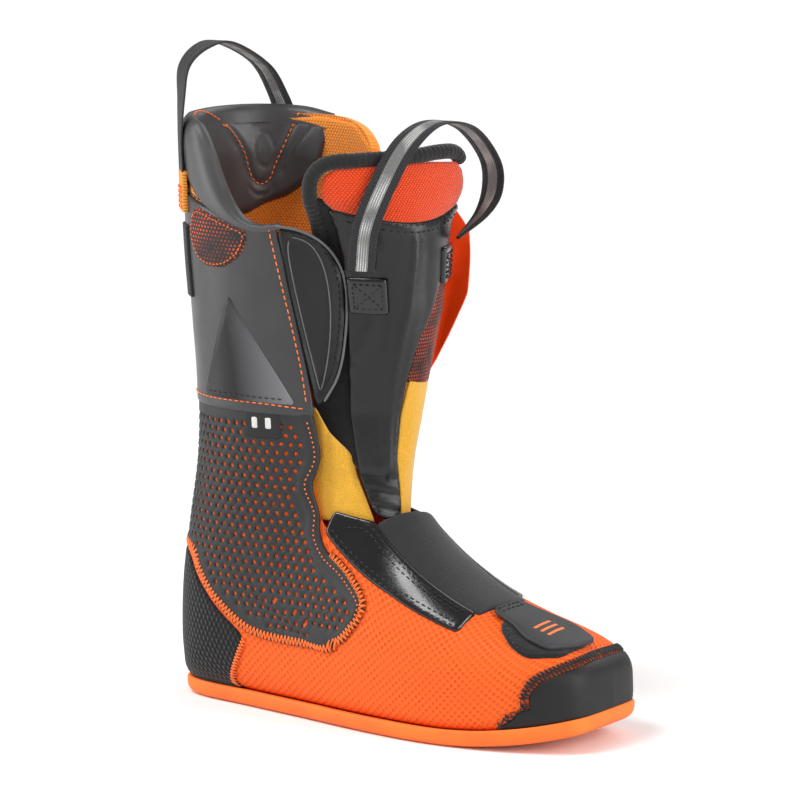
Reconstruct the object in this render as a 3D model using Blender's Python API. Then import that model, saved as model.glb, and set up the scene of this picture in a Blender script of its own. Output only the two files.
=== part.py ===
"""Inner boot (liner) of an alpine ski boot, right foot: shell panels, foam, tongue, flaps, loops.

Sizes below are in millimetres, +X to the toe, +Y to the inner (medial) side, +Z up.
"""
import bpy
import bmesh
import numpy as np
from mathutils import Vector
from mathutils.geometry import delaunay_2d_cdt

MM = 0.001
ORIGIN_X = 110.0          # the row's origin is the middle of the sole's flat zone
GAP = 0.7                 # clearance between two layers
SKIN = 1.0                # thickness of an outer panel
FOAM_FACE = 2.3           # depth of the foam's outer face under the outer surface
FOAM_BACK = 7.5           # depth of the foam's inner face
LINING_BACK = 9.4         # depth of the knit lining's inner face
SPRING_START = 195.0      # the toe rises in front of this length
SPRING_RUN = 92.0
SPRING_RISE = 13.0
HEM_Z = 178.0             # seam between the ankle and the cuff
SOLE_TOP = 12.5           # top of the cup sole's rim
RIM_Z = 338.0             # top of the cuff at the back

# Sections from the toe tip, round the heel and up to the rim of the cuff. Each one is an oval between a
# bottom (then back) rail and a top (then front) rail: bottom x, z, top x, z, half width, sideways shift,
# widest place between the rails, squareness near the bottom rail and near the top rail.
SECTIONS = np.array([
    (282, 6, 282, 27, 0.0, 7, .50, 3.0, 3.4),
    (280, 6, 279, 36, 25.5, 6, .45, 4.6, 3.4),
    (268, 6, 268, 47, 37.5, 5, .42, 6.2, 3.1),
    (248, 6, 251, 58, 45.0, 3, .38, 6.5, 2.8),
    (219, 6, 227, 70, 49.5, 0, .36, 6.5, 2.5),
    (184, 6, 202, 83, 50.5, -2, .36, 6.5, 2.3),
    (144, 6, 181, 98, 47.0, -3, .38, 6.0, 2.2),
    (98, 6, 165, 113, 42.0, -2, .42, 5.2, 2.2),
    (54, 6, 153, 128, 39.0, -1, .46, 4.2, 2.2),
    (12, 7, 144, 143, 38.0, 0, .48, 3.2, 2.2),
    (1, 22, 137, 158, 38.0, 0, .48, 2.5, 2.2),
    (0, 60, 132, 174, 39.0, 0, .46, 2.2, 2.2),
    (6, 98, 128, 192, 40.5, 0, .46, 2.2, 2.2),
    (13, 138, 126, 213, 42.0, 0, .46, 2.2, 2.2),
    (15, 178, 126, 235, 44.0, 0, .46, 2.2, 2.2),
    (13, 220, 127, 258, 47.0, 0, .46, 2.2, 2.2),
    (10, 260, 128, 283, 49.0, 0, .46, 2.2, 2.2),
    (8, 298, 130, 309, 49.5, 0, .46, 2.2, 2.2),
    (7, 340, 132, 340, 49.5, 0, .46, 2.2, 2.2)])
LAST = len(SECTIONS) - 1
TIP_INSET = np.array([1, .85, .4, .1] + [0] * (LAST - 3))   # share of a depth taken off the toe's length

# Sections of the tongue by height: ridge x, y, turn about Z in degrees, half width, depth of the bow.
TONGUE = np.array([
    (112, 151, -8, 5, 15, 5),
    (140, 150, -3, 12, 22, 18),
    (175, 152, -1, 18, 28, 26),
    (234, 160, 0, 22, 36, 32),
    (264, 161, -2, 23, 39, 33),
    (280, 160, -4, 24, 42, 30),
    (300, 157, -6, 25, 51, 22),
    (325, 155, -7, 26, 54, 19)], float)
TONGUE_LATERAL = 0.94     # edges of the tongue shell across its width
TONGUE_MEDIAL = -0.84
TONGUE_FOOT = 116.0
TONGUE_TOP = 316.0

ORANGE = (1.0, 0.16, 0.03)
KNIT_ORANGE = (1.0, 0.27, 0.04)
RED_ORANGE = (0.80, 0.06, 0.01)
CHARCOAL = (0.06, 0.06, 0.065)
SHELL_GREY = (0.085, 0.085, 0.09)
BLACK = (0.02, 0.02, 0.022)
MUSTARD = (0.72, 0.42, 0.09)
GREY_WEB = (0.12, 0.12, 0.125)
WHITE = (0.8, 0.8, 0.78)


# ---------------------------------------------------------------- the form
def spline(knots, t):
    """Catmull-Rom curve through evenly spaced knots."""
    last = len(knots) - 1
    t = np.clip(np.asarray(t, float), 0, last)
    cell = np.minimum(t.astype(int), last - 1)
    f = (t - cell)[..., None]
    ends = [2 * knots[0] - knots[1]], knots, [2 * knots[-1] - knots[-2]]
    padded = np.concatenate(ends)
    p0, p1, p2, p3 = (padded[cell + k] for k in range(4))
    return 0.5 * (2 * p1 + (p2 - p0) * f + (2 * p0 - 5 * p1 + 4 * p2 - p3) * f**2
                  + (3 * p1 - p0 - 3 * p2 + p3) * f**3)


def toe_spring(x):
    return SPRING_RISE * np.clip((x - SPRING_START) / SPRING_RUN, 0, None)**2


def form(angle, t, depth=0.0):
    """Point on the liner's surface, depth mm under it: angle 0 is the top rail, pi the bottom rail."""
    angle, t = np.broadcast_arrays(np.asarray(angle, float), np.asarray(t, float))
    bx, bz, fx, fz, w, shift, widest, low, high = np.moveaxis(spline(SECTIONS, t), -1, 0)
    tip = spline(TIP_INSET[:, None], t)[..., 0] * depth
    length = np.hypot(fx - bx, fz - bz)
    ex, ez = (fx - bx) / length * depth, (fz - bz) / length * depth
    bx, bz, fx, fz = bx + ex - tip, bz + ez, fx - ex - tip, fz - ez
    w = np.maximum(w - depth, 0) * np.clip(t * 4, 0, 1)
    cos, sin = np.cos(angle), np.sin(angle)
    power = 2 / np.where(cos > 0, high, low)
    across = np.sign(sin) * np.abs(sin)**power
    along = np.sign(cos) * np.abs(cos)**power
    share = np.where(along > 0, widest + (1 - widest) * along, widest * (1 + along))
    x = bx + share * (fx - bx)
    return np.stack([x, shift - w * across, bz + share * (fz - bz) + toe_spring(x)], -1)


class LevelChart:
    """Maps (s, z) to the form: s runs round a level line from the back centreline, outer side positive."""
    COLUMNS = 161
    LEVELS = np.linspace(7, 340, 112)

    def __init__(self):
        self.tables = {side: self.trace(side) for side in (1, -1)}

    def trace(self, side):
        t = np.linspace(0, LAST, 361)
        angle = np.pi * (1 - np.linspace(0, 1, self.COLUMNS)**1.3)
        points = form(side * angle[:, None], t[None, :])
        height = points[..., 2] - toe_spring(points[..., 0])
        height = np.maximum.accumulate(height, axis=1) + np.arange(len(t)) * 1e-6
        rows = []
        for level in self.LEVELS:
            reached = np.nonzero(height[:, 0] <= level)[0].max()
            a = angle[:reached + 1]
            tt = np.array([np.interp(level, height[i], t) for i in range(reached + 1)])
            if reached < self.COLUMNS - 1:
                low, high = height[reached, 0], height[reached + 1, 0]
                f = np.clip((level - low) / max(high - low, 1e-9), 0, 1)
                a = np.append(a, angle[reached] + f * (angle[reached + 1] - angle[reached]))
                tt = np.append(tt, 0.0)
            line = form(side * a, tt)[:, :2]
            run = np.append(0, np.cumsum(np.linalg.norm(np.diff(line, axis=0), axis=1)))
            even = np.linspace(0, run[-1], self.COLUMNS)
            rows.append((even, np.interp(even, run, a), np.interp(even, run, tt)))
        return np.array(rows)

    def half_length(self, z, side=1):
        return np.interp(z, self.LEVELS, self.tables[side][:, 0, -1])

    def share(self, side, share, z, depth=0.0):
        """Point at a share of the way from the back (0) to the front (1) on one side."""
        row = np.clip((z - self.LEVELS[0]) / (self.LEVELS[1] - self.LEVELS[0]), 0, len(self.LEVELS) - 1.001)
        column = np.clip(share, 0, 1) * (self.COLUMNS - 1)
        i, j = row.astype(int), np.minimum(column.astype(int), self.COLUMNS - 2)
        f, g = row - i, column - j
        angle, t = (
            (table[i, j] * (1 - g) + table[i, j + 1] * g) * (1 - f)
            + (table[i + 1, j] * (1 - g) + table[i + 1, j + 1] * g) * f
            for table in (self.tables[side][:, 1], self.tables[side][:, 2]))
        return form(side * angle, t, depth)

    def point(self, s, z, depth=0.0):
        s, z = np.broadcast_arrays(np.asarray(s, float), np.asarray(z, float))
        out = np.zeros(s.shape + (3,))
        for side in (1, -1):
            mine = (s >= 0) if side > 0 else (s < 0)
            out[mine] = self.share(side, np.abs(s[mine]) / self.half_length(z[mine], side), z[mine], depth)
        return out

    def front_point(self, s, z, depth=0.0):
        """The same with s counted from the front centreline."""
        s, z = np.broadcast_arrays(np.asarray(s, float), np.asarray(z, float))
        half = np.where(s >= 0, self.half_length(z, 1), self.half_length(z, -1))
        return self.point(np.where(s >= 0, 1, -1) * np.maximum(half - np.abs(s), 0.01), z, depth)


class RidgeChart:
    """Maps (q, l) to the form: l runs back from the toe tip along the top rail, q down to the outer side."""

    def __init__(self):
        self.t = np.linspace(0, LAST, 361)
        self.angle = np.linspace(0, np.pi, 91)
        ridge = form(0.0001, self.t)
        self.run = np.append(0, np.cumsum(np.linalg.norm(np.diff(ridge, axis=0), axis=1)))
        self.across = {}
        for side in (1, -1):
            points = form(side * self.angle[None, :], self.t[:, None])
            steps = np.cumsum(np.linalg.norm(np.diff(points, axis=1), axis=2), axis=1)
            self.across[side] = np.concatenate([np.zeros((len(self.t), 1)), steps], axis=1)

    def point(self, q, l, depth=0.0):
        q, l = np.broadcast_arrays(np.asarray(q, float), np.asarray(l, float))
        t = np.interp(l, self.run, self.t)
        row = t / LAST * (len(self.t) - 1.001)
        angle = np.zeros(q.shape)
        for k in np.ndindex(q.shape):
            side = 1 if q[k] >= 0 else -1
            i = int(row[k])
            f = row[k] - i
            steps = self.across[side][i] * (1 - f) + self.across[side][i + 1] * f
            angle[k] = side * np.interp(abs(q[k]), steps, self.angle)
        return form(angle, t, depth)


def tongue_point(v, z, depth=0.0):
    """Point on the tongue: v 0 is its ridge, 1 its outer edge; depth goes in towards the leg."""
    v, z = np.broadcast_arrays(np.asarray(v, float), np.asarray(z, float))
    x, y, turn, width, bow = (np.interp(z, TONGUE[:, 0], TONGUE[:, k]) for k in range(1, 6))
    turn = np.radians(turn)
    forward = np.stack([np.cos(turn), -np.sin(turn), 0 * turn], -1)
    outward = np.stack([-np.sin(turn), -np.cos(turn), 0 * turn], -1)
    slope = 2 * bow * v / width
    normal = (forward + slope[..., None] * outward) / np.sqrt(1 + slope**2)[..., None]
    ridge = np.stack([x, y, z], -1)
    return ridge + (width * v)[..., None] * outward - (bow * v**2)[..., None] * forward - depth * normal


# ---------------------------------------------------------------- mesh helpers
def material(name, colour, roughness):
    mat = bpy.data.materials.get(name) or bpy.data.materials.new(name)
    mat.use_nodes = True
    shader = mat.node_tree.nodes["Principled BSDF"]
    shader.inputs["Base Color"].default_value = (*colour, 1)
    shader.inputs["Roughness"].default_value = roughness
    shader.inputs["Metallic"].default_value = 0.0
    return mat


def add_object(name, mat, bm, pivot=None):
    """Scales a mesh in mm to metres, closes it and adds it with its origin on the pivot."""
    bmesh.ops.remove_doubles(bm, verts=bm.verts, dist=0.02)
    bmesh.ops.recalc_face_normals(bm, faces=bm.faces)
    if bm.calc_volume(signed=True) < 0:
        bmesh.ops.reverse_faces(bm, faces=bm.faces)
    place = Vector(pivot) if pivot is not None else Vector((ORIGIN_X, 0, 0))
    for vert in bm.verts:
        vert.co = (vert.co - place) * MM
    mesh = bpy.data.meshes.new(name)
    bm.to_mesh(mesh)
    bm.free()
    mesh.shade_smooth()
    mesh.set_sharp_from_angle(angle=0.7)
    obj = bpy.data.objects.new(name, mesh)
    obj.location = (place - Vector((ORIGIN_X, 0, 0))) * MM
    mesh.materials.append(mat)
    bpy.data.collections["ski_boot_liner"].objects.link(obj)
    return obj


def inside(points, outline):
    """Even-odd test of points against an outline."""
    x, y = points[:, 0:1], points[:, 1:2]
    a, b = outline, np.roll(outline, -1, axis=0)
    spans = (a[:, 1] > y) != (b[:, 1] > y)
    rise = np.where(b[:, 1] == a[:, 1], 1e-9, b[:, 1] - a[:, 1])
    crossing = x < (b[:, 0] - a[:, 0]) * (y - a[:, 1]) / rise + a[:, 0]
    return (spans & crossing).sum(axis=1) % 2 == 1


def edge_distance(points, outline):
    a, b = outline[None], np.roll(outline, -1, axis=0)[None]
    p = points[:, None]
    f = np.clip(((p - a) * (b - a)).sum(2) / np.maximum(((b - a)**2).sum(2), 1e-9), 0, 1)
    return np.linalg.norm(p - a - f[..., None] * (b - a), axis=2).min(axis=1)


def triangulate(outline, step):
    """Fills an outline with evenly spread triangles; step is the spacing in its two directions."""
    scale = np.array(step, float)
    outline = np.array(outline, float) / scale
    edge = []
    for a, b in zip(outline, np.roll(outline, -1, axis=0)):
        pieces = max(1, int(round(np.linalg.norm(b - a))))
        edge += [a + (b - a) * k / pieces for k in range(pieces)]
    edge = np.array(edge)
    low, high = edge.min(axis=0), edge.max(axis=0)
    rows = [(x + 0.5 * (k % 2), y)
            for k, y in enumerate(np.arange(low[1] + 0.45, high[1], 0.87))
            for x in np.arange(low[0] + 0.3, high[0], 1.0)]
    grid = np.array(rows) if rows else np.zeros((0, 2))
    keep = inside(grid, edge) & (edge_distance(grid, edge) > 0.5)
    points = np.concatenate([edge, grid[keep]])
    count = len(edge)
    loops = [(k, (k + 1) % count) for k in range(count)]
    verts, _, faces, _, _, _ = delaunay_2d_cdt([Vector(p) for p in points], loops, [], 0, 1e-6)
    verts = np.array([tuple(v) for v in verts])
    centres = np.array([verts[list(f)].mean(axis=0) for f in faces])
    faces = [f for f, ok in zip(faces, inside(centres, edge)) if ok]
    return verts * scale, faces


def add_layer(bm, points, faces, flip):
    verts = [bm.verts.new(p) for p in points]
    for f in faces:
        bm.faces.new([verts[k] for k in (reversed(f) if flip else f)])
    return verts


def panel(name, mat, surface, outline, outer, inner, step=(9, 16), pivot=None):
    """A sheet that follows a surface between two depths, cut to an outline in the surface's own chart."""
    flat, faces = triangulate(outline, step)
    bm = bmesh.new()
    front = add_layer(bm, surface(flat[:, 0], flat[:, 1], outer), faces, False)
    back = add_layer(bm, surface(flat[:, 0], flat[:, 1], inner), faces, True)
    border = {}
    for f in faces:
        for a, b in zip(f, f[1:] + f[:1]):
            if (b, a) in border:
                del border[(b, a)]
            else:
                border[(a, b)] = True
    for a, b in border:
        bm.faces.new([front[b], front[a], back[a], back[b]])
    return add_object(name, mat, bm, pivot)


def bridge(bm, ring_a, ring_b, closed=True):
    count = len(ring_a)
    for k in range(count if closed else count - 1):
        n = (k + 1) % count
        bm.faces.new([ring_a[k], ring_a[n], ring_b[n], ring_b[k]])


def mirrored(outline):
    return [(-s, z) for s, z in reversed(outline)]


def ribbon(name, mat, path, across, width, thick, pieces, pivot=None):
    """A strap of webbing along a smooth path; across gives the direction of its width at each path point."""
    at = np.linspace(0, len(path) - 1, pieces + 1)
    line = spline(np.array(path, float), at)
    side = spline(np.array(across, float), at)
    tangent = np.gradient(line, axis=0)
    tangent /= np.linalg.norm(tangent, axis=1)[:, None]
    side -= (side * tangent).sum(1)[:, None] * tangent
    side /= np.linalg.norm(side, axis=1)[:, None]
    normal = np.cross(tangent, side)
    corners = [(1, 1), (-1, 1), (-1, -1), (1, -1)]
    bm = bmesh.new()
    rings = [[bm.verts.new(p + a * s * width / 2 + b * n * thick / 2) for a, b in corners]
             for p, s, n in zip(line, side, normal)]
    for one, other in zip(rings, rings[1:]):
        bridge(bm, one, other)
    bm.faces.new(rings[0])
    bm.faces.new(rings[-1])
    return add_object(name, mat, bm, pivot)


# ---------------------------------------------------------------- lower part
def level_ring(z, depth, height=None, count=28):
    """Ring of points round the form at a level, outer side from heel to toe, then back on the inner side.

    With a height the ring is drawn flat at that height, and depth is measured level.
    """
    share = np.linspace(0, 1, count + 1)
    share = (1 - np.cos(np.pi * share)) / 2 * 0.35 + share * 0.65
    level = np.full(count + 1, float(z))
    under = depth if height is None else 0.0
    outer = levels.share(1, share, level, under)
    inner = levels.share(-1, share, level, under)[1:-1][::-1]
    ring = np.concatenate([outer, inner])
    if height is not None:
        along = np.roll(ring, -1, axis=0) - np.roll(ring, 1, axis=0)
        normal = np.stack([-along[:, 1], along[:, 0]], -1)
        ring[:, :2] += depth * normal / np.linalg.norm(normal, axis=1)[:, None]
        ring[:, 2] = height + toe_spring(ring[:, 0])
    return ring


def close_ring(bm, ring):
    """Fills a level ring with strips from the outer to the inner side."""
    half = len(ring) // 2
    for k in range(half):
        corners = [ring[k], ring[k + 1], ring[-k - 1], ring[-k]] if k else [ring[0], ring[1], ring[-1]]
        if k == half - 1:
            corners = [ring[k], ring[k + 1], ring[-k]]
        bm.faces.new(corners)


def stacked_rings(name, mat, rings):
    bm = bmesh.new()
    loops = [[bm.verts.new(p) for p in ring] for ring in rings]
    for one, other in zip(loops, loops[1:]):
        bridge(bm, one, other)
    close_ring(bm, loops[0])
    close_ring(bm, loops[-1])
    return add_object(name, mat, bm)


def outsole(mat):
    inner_face = FOAM_FACE - 1.0
    rings = [level_ring(12, 7, 0.0), level_ring(12, 2.4, 0.9), level_ring(12, -0.4, 4.2),
             level_ring(12, -0.9, 9.0), level_ring(12, -0.7, SOLE_TOP)]
    rings += [level_ring(z, inner_face) for z in (12.3, 10.5, 9.0, 8.0, 7.2)]
    rings.append(level_ring(7.2, inner_face + 5, 6.9))
    stacked_rings("outsole", mat, rings)


def slab(name, mat, depth, low, high):
    """Flat inner sole with rounded edges, depth inside the outer face at its own level."""
    rings = [level_ring(low, depth + 0.8, low), level_ring(low, depth, low + 0.8),
             level_ring(low, depth, high - 0.8), level_ring(low, depth + 0.8, high)]
    stacked_rings(name, mat, rings)


def throat_angle(t):
    """Half of the opening in front, as an angle of the section."""
    return 1.0 * np.clip((t - 7.2) / 1.3, 0, 1)**0.7


def lower_foam(mat):
    """Foam foot with a closed bottom and an open throat, up to the hem of the cuff."""
    columns, closed_rows, open_rows = 30, 15, 7
    top = 7.2
    share = np.linspace(0, 1, columns + 1)
    stations = np.concatenate([[0, 0.6], np.linspace(1.2, top, closed_rows - 2)])
    grid = [[(2 * np.pi * u, t) for u in share] for t in stations]
    rises = np.linspace(0, 1, open_rows + 1)[1:]
    search = np.linspace(top, 15, 300)
    ends = []
    for u in share:
        angle = throat_angle(search) + (2 * np.pi - 2 * throat_angle(search)) * u
        height = form(angle, search)[:, 2]
        ends.append(np.interp(HEM_Z - 1, np.maximum.accumulate(height), search))
    for rise in rises:
        row = []
        for u, end in zip(share, ends):
            t = top + (end - top) * rise
            half = throat_angle(t)
            row.append((half + (2 * np.pi - 2 * half) * u, t))
        grid.append(row)
    grid = np.array(grid)
    bm = bmesh.new()
    sides = []
    for depth in (FOAM_FACE, FOAM_BACK):
        points = form(grid[..., 0], grid[..., 1], depth)
        verts = [[bm.verts.new(p) for p in row] for row in points]
        for row, above in zip(verts, verts[1:]):
            bridge(bm, row, above, closed=False)
        sides.append(verts)
    face, back = sides
    split = len(stations) - 1
    border = [(r, 0) for r in range(split, len(grid))]
    border += [(len(grid) - 1, c) for c in range(1, columns + 1)]
    border += [(r, columns) for r in range(len(grid) - 2, split - 1, -1)]
    for (r0, c0), (r1, c1) in zip(border, border[1:]):
        bm.faces.new([face[r0][c0], face[r1][c1], back[r1][c1], back[r0][c0]])
    add_object("lower_foam", mat, bm)


def forefoot_panels(mats):
    toe_cap = [(62, 12.9), (57, 24), (50, 34), (34, 38.5), (10, 40.5), (-10, 40.5), (-34, 38.5), (-50, 34),
               (-57, 24), (-62, 12.9)]
    panel("toe_cap", mats["black"], levels.front_point, toe_cap, 0, SKIN, (6, 6))
    patch = [(30.6, 164), (29, 132), (27, 84), (41, 86), (46, 128), (57, 176), (48, 181)]
    panel("instep_patch_lateral", mats["gloss"], ridges.point, patch, -0.3, SKIN, (9, 9))
    patch = [(-24, 152), (-21, 110), (-17.6, 80), (-30, 84), (-40, 124), (-50, 168), (-42, 172)]
    panel("instep_patch_medial", mats["gloss"], ridges.point, patch[::-1], -0.3, SKIN, (9, 9))
    stretch = [(28.8, 161), (27.4, 132), (26, 82), (8, 77.4), (-16.4, 76.4), (-20, 110), (-23, 150), (0, 153)]
    panel("stretch_panel", mats["knit_black"], ridges.point, stretch, 0, SKIN, (9, 9))
    loop = [(27, 66), (37.5, 53), (40, 41), (27, 25.5), (0, 24), (-16, 40), (-16, 66), (0, 72)]
    panel("loop_patch", mats["knit_black"], ridges.point, loop, 0, SKIN, (7, 7))


TAB_HINGE = ((219, -21, 74.8), (222.5, 8, 75.8))


def toe_tab(mat):
    tab = [(20, 75.5), (22, 60), (29, 48), (29, 33), (14, 24.5), (-6, 23), (-10, 40), (-8, 60), (-6, 72.5)]
    pivot = np.mean(TAB_HINGE, axis=0)
    panel("toe_tab", mat, ridges.point, tab, -2.4, -0.9, (8, 8), pivot)


def side_panels(mats):
    heel = [(-82, 42), (-60, 57), (-42, 74), (-34, 84), (0, 90), (34, 84), (42, 74), (60, 57), (82, 42),
            (75, 28), (62, 12.9), (-62, 12.9), (-75, 28)]
    panel("heel_counter", mats["knit_black"], levels.point, heel, 0, SKIN, (7, 9))
    ankle = [(0.4, HEM_Z - 2), (0.4, 97), (38, 91), (46, 79), (62, 63), (88, 48), (124, 46), (150, 49.5),
             (162, 62), (166, 74), (149, 89), (134, 98), (127, 107), (125, 119), (117, 134), (122, 150),
             (117, HEM_Z - 4)]
    cuff = [(0.4, HEM_Z), (117, HEM_Z - 2), (114, 212), (112, 264), (109.5, 283), (92, 280.5), (72, 287),
            (40, 295), (0.4, 299)]
    roll = [(0.4, 301), (40, 297), (72, 289), (88, 285), (72, 311), (57, 334), (0.4, 337)]
    window = [(76, 240), (47, 183), (106, 181)]
    knit = [(54, 290), (48, 276), (53, 262), (64, 256.5), (78, 258), (89, 267), (94, 278), (74, 284)]
    for side, turn in (("lateral", list), ("medial", mirrored)):
        panel("ankle_shell_" + side, mats["shell"], levels.point, turn(ankle), 0, SKIN, (8, 10))
        panel("cuff_" + side, mats["cuff"], levels.point, turn(cuff), 0, SKIN, (9, 16))
        panel("collar_roll_" + side, mats["collar"], levels.point, turn(roll), -0.6, SKIN, (9, 14))
        panel("window_" + side, mats["window"], levels.point, turn(window), -2.0, -1.0, (9, 14))
        panel("knit_window_" + side, mats["knit_black"], levels.point, turn(knit), -2.1, -1.1, (9, 14))
    label = [(76, 174), (76, 160), (98, 160), (98, 173.5)]
    panel("size_label", mats["label"], levels.point, label, -1.6, -0.8, (8, 14))


# ---------------------------------------------------------------- cuff
def cuff_layers(mats):
    wall = [(116, HEM_Z), (116, 283), (92, 282), (75, 309), (57, RIM_Z), (0, RIM_Z), (-62, RIM_Z), (-86, 335),
            (-118, 322), (-118, HEM_Z)]
    panel("cuff_foam", mats["foam"], levels.point, wall, FOAM_FACE, FOAM_BACK, (10, 18))
    inner = [(112, HEM_Z + 3), (112, 281), (91, 280), (73, 306), (55, 335), (0, 335), (-62, 335), (-85, 332),
             (-114, 320), (-114, HEM_Z + 3)]
    panel("cuff_lining", mats["lining"], levels.point, inner, FOAM_BACK + GAP, LINING_BACK, (11, 20))
    spine = [(3, 334.4), (-10, 328), (-22, 316), (-29, 301), (-39, 294.5), (-47, 303), (-56, 317), (-64, 334.4)]
    panel("collar_spine", mats["collar"], levels.point, spine, LINING_BACK + GAP, 13.5, (9, 14))
    outer_pad = [(5, 334.4), (-9, 326.5), (-20.5, 315), (-27.5, 300), (-30, 292), (-27, 279), (0, 276), (40, 280),
                 (68, 288), (73, 296), (60, 320), (52, 334.4)]
    inner_pad = [(-66, 334.4), (-58, 317), (-49, 302), (-40, 293), (-31.5, 292), (-28.5, 279), (-40, 283),
                 (-57, 288), (-72, 297), (-82, 309), (-85.5, 322), (-85, 331)]
    panel("collar_pad_lateral", mats["collar"], levels.point, outer_pad, LINING_BACK + GAP, 14, (9, 14))
    panel("collar_pad_medial", mats["collar"], levels.point, inner_pad, LINING_BACK + GAP, 14, (9, 14))


FLAP_HINGE = ((92.5, -45.5, 283), (106.5, -32.5, 176))


def flap_lateral(mat):
    flap = [(111, 282), (126, 279), (138, 269), (145, 254), (144, 234), (134, 199), (124, 183), (118.6, HEM_Z + 1),
            (115.6, 212), (113.5, 264)]
    pivot = np.mean(FLAP_HINGE, axis=0)
    panel("flap_lateral", mat, levels.point, flap, -0.4, SKIN, (8, 14), pivot)


MEDIAL_HINGE = ((91.5, 47, 290), (104.5, 34.5, 180))
MEDIAL_EDGE = np.array([(132, 39, 178), (140, 43, 200), (150, 51, 238), (154, 56, 272), (152, 58, 292)], float)
BOW = 3.0


def medial_flap_point(u, z, depth=0.0):
    """Point on the inner flap: u 0 at its seam, 1 at its free front edge."""
    u, z = np.broadcast_arrays(np.asarray(u, float), np.asarray(z, float))
    low, high = np.array(MEDIAL_HINGE[1]), np.array(MEDIAL_HINGE[0])
    f = (z - low[2]) / (high[2] - low[2])
    seam = low + f[..., None] * (high - low)
    edge = np.stack([np.interp(z, MEDIAL_EDGE[:, 2], MEDIAL_EDGE[:, k]) for k in range(3)], -1)
    out = np.array([0.1, 0.99, 0.0])
    return seam + u[..., None] * (edge - seam) + (BOW * np.sin(np.pi * u) - depth)[..., None] * out


def flap_medial(mat):
    flap = [(0.02, 183), (0.5, 180), (0.85, 186), (1, 202), (1, 262), (0.9, 279), (0.5, 286), (0.02, 288)]
    pivot = np.mean(MEDIAL_HINGE, axis=0)
    panel("flap_medial", mat, medial_flap_point, flap, 0, 1.8, (0.17, 16), pivot)


# ---------------------------------------------------------------- tongue
TONGUE_HINGE = ((147, -24, 114), (151, 12, 114))


def mesh_window_foot(v):
    return 286 + 10 * v**2


def tongue_pieces(mats):
    pivot = np.mean(TONGUE_HINGE, axis=0)
    left, right = TONGUE_LATERAL, TONGUE_MEDIAL
    crest = [(v, mesh_window_foot(v)) for v in np.linspace(right, left, 7)]
    shell = crest + [(left, 232), (left, 170), (left, TONGUE_FOOT + 4), (left - 0.3, TONGUE_FOOT),
                     (right + 0.3, TONGUE_FOOT), (right, TONGUE_FOOT + 4), (right, 170), (right, 232)]
    panel("tongue_shell", mats["tongue"], tongue_point, shell, 0, 2, (0.26, 16), pivot)
    mesh = [(v, z + 0.8) for v, z in crest] + [(left, 310), (0.75, TONGUE_TOP), (-0.65, TONGUE_TOP), (right, 309)]
    panel("tongue_mesh", mats["mesh"], tongue_point, mesh, 0.2, 1.8, (0.26, 9), pivot)
    foam = [(0.84, TONGUE_FOOT + 6), (0.84, 306), (0.7, TONGUE_TOP - 1), (-0.6, TONGUE_TOP - 1), (-0.76, 306),
            (-0.76, TONGUE_FOOT + 6)]
    panel("tongue_foam", mats["lining"], tongue_point, foam, 2.4 + GAP, 7.5, (0.28, 12), pivot)


def tube(name, mat, path, radius, pivot):
    curve = bpy.data.curves.new(name, "CURVE")
    curve.dimensions = "3D"
    curve.bevel_depth = radius * MM
    curve.bevel_resolution = 2
    curve.use_fill_caps = True
    run = curve.splines.new("POLY")
    run.points.add(len(path) - 1)
    for point, place in zip(run.points, path):
        point.co = (*((np.array(place) - pivot) * MM), 1)
    obj = bpy.data.objects.new(name, curve)
    obj.location = (Vector(pivot) - Vector((ORIGIN_X, 0, 0))) * MM
    curve.materials.append(mat)
    bpy.data.collections["ski_boot_liner"].objects.link(obj)
    return obj


def tongue_binding(mat):
    radius, depth = 3.3, 3.0
    route = [(1.07, 236), (1.07, 262), (1.06, 284), (1.05, 300), (1.0, 312), (0.84, 319.5), (0.5, 321), (0.0, 321),
             (-0.5, 321), (-0.74, 319), (-0.9, 311), (-0.95, 298), (-0.97, 280), (-0.98, 262), (-0.98, 240)]
    path = spline(np.array([tongue_point(v, z, depth) for v, z in route]), np.linspace(0, len(route) - 1, 34))
    tube("tongue_binding", mat, path, radius, np.mean(TONGUE_HINGE, axis=0))


LOOP_HINGE = ((135, -25.5, 258.5), (163, 30.5, 272.5))


def tongue_loop(mats):
    pivot = np.mean(TONGUE_HINGE, axis=0)
    for name, v, z in (("tongue_anchor_lateral", 0.70, 244), ("tongue_anchor_medial", -0.62, 259)):
        box = [(v - 0.2, z - 11), (v + 0.2, z - 11), (v + 0.2, z + 9), (v - 0.2, z + 9)]
        panel(name, mats["web"], tongue_point, box, -1.9, -0.5, (0.2, 12), pivot)
    path = [LOOP_HINGE[0], (142, -31, 284), (151, -26, 310), (159, -15.5, 331), (166, 2, 341),
            (172, 25, 336), (176, 43, 317), (176, 46, 300), (172, 41, 286), LOOP_HINGE[1]]
    across = [(.8, .6, .1), (.85, .5, .1), (.9, .45, 0), (.95, .3, 0), (1, .1, 0), (1, .05, 0),
              (1, 0, -.1), (.95, -.1, -.1), (.8, -.4, 0), (.5, -.85, 0)]
    ribbon("tongue_loop", mats["web"], path, across, 15, 1.4, 30, np.mean(LOOP_HINGE, axis=0))


def gusset(name, mat, side):
    """Stretch panel between the wall of the throat and one edge of the tongue."""
    inner = FOAM_BACK + GAP + 1.8

    def point(u, z, depth=0.0):
        wall = levels.point(side * 116 + 0 * z, z, inner + depth)
        edge = tongue_point((1.06 if side > 0 else -0.98) + 0 * z, z, 3 + depth)
        return wall + u[..., None] * (edge - wall)

    outline = [(0, 124), (0.94, 119), (0.94, 186), (0, 180)]
    panel(name, mat, point, outline, 0, 1.6, (0.34, 12))


# ---------------------------------------------------------------- pull loops
REAR_HINGE = ((19, -35, 303), (31, 50, 303))


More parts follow.
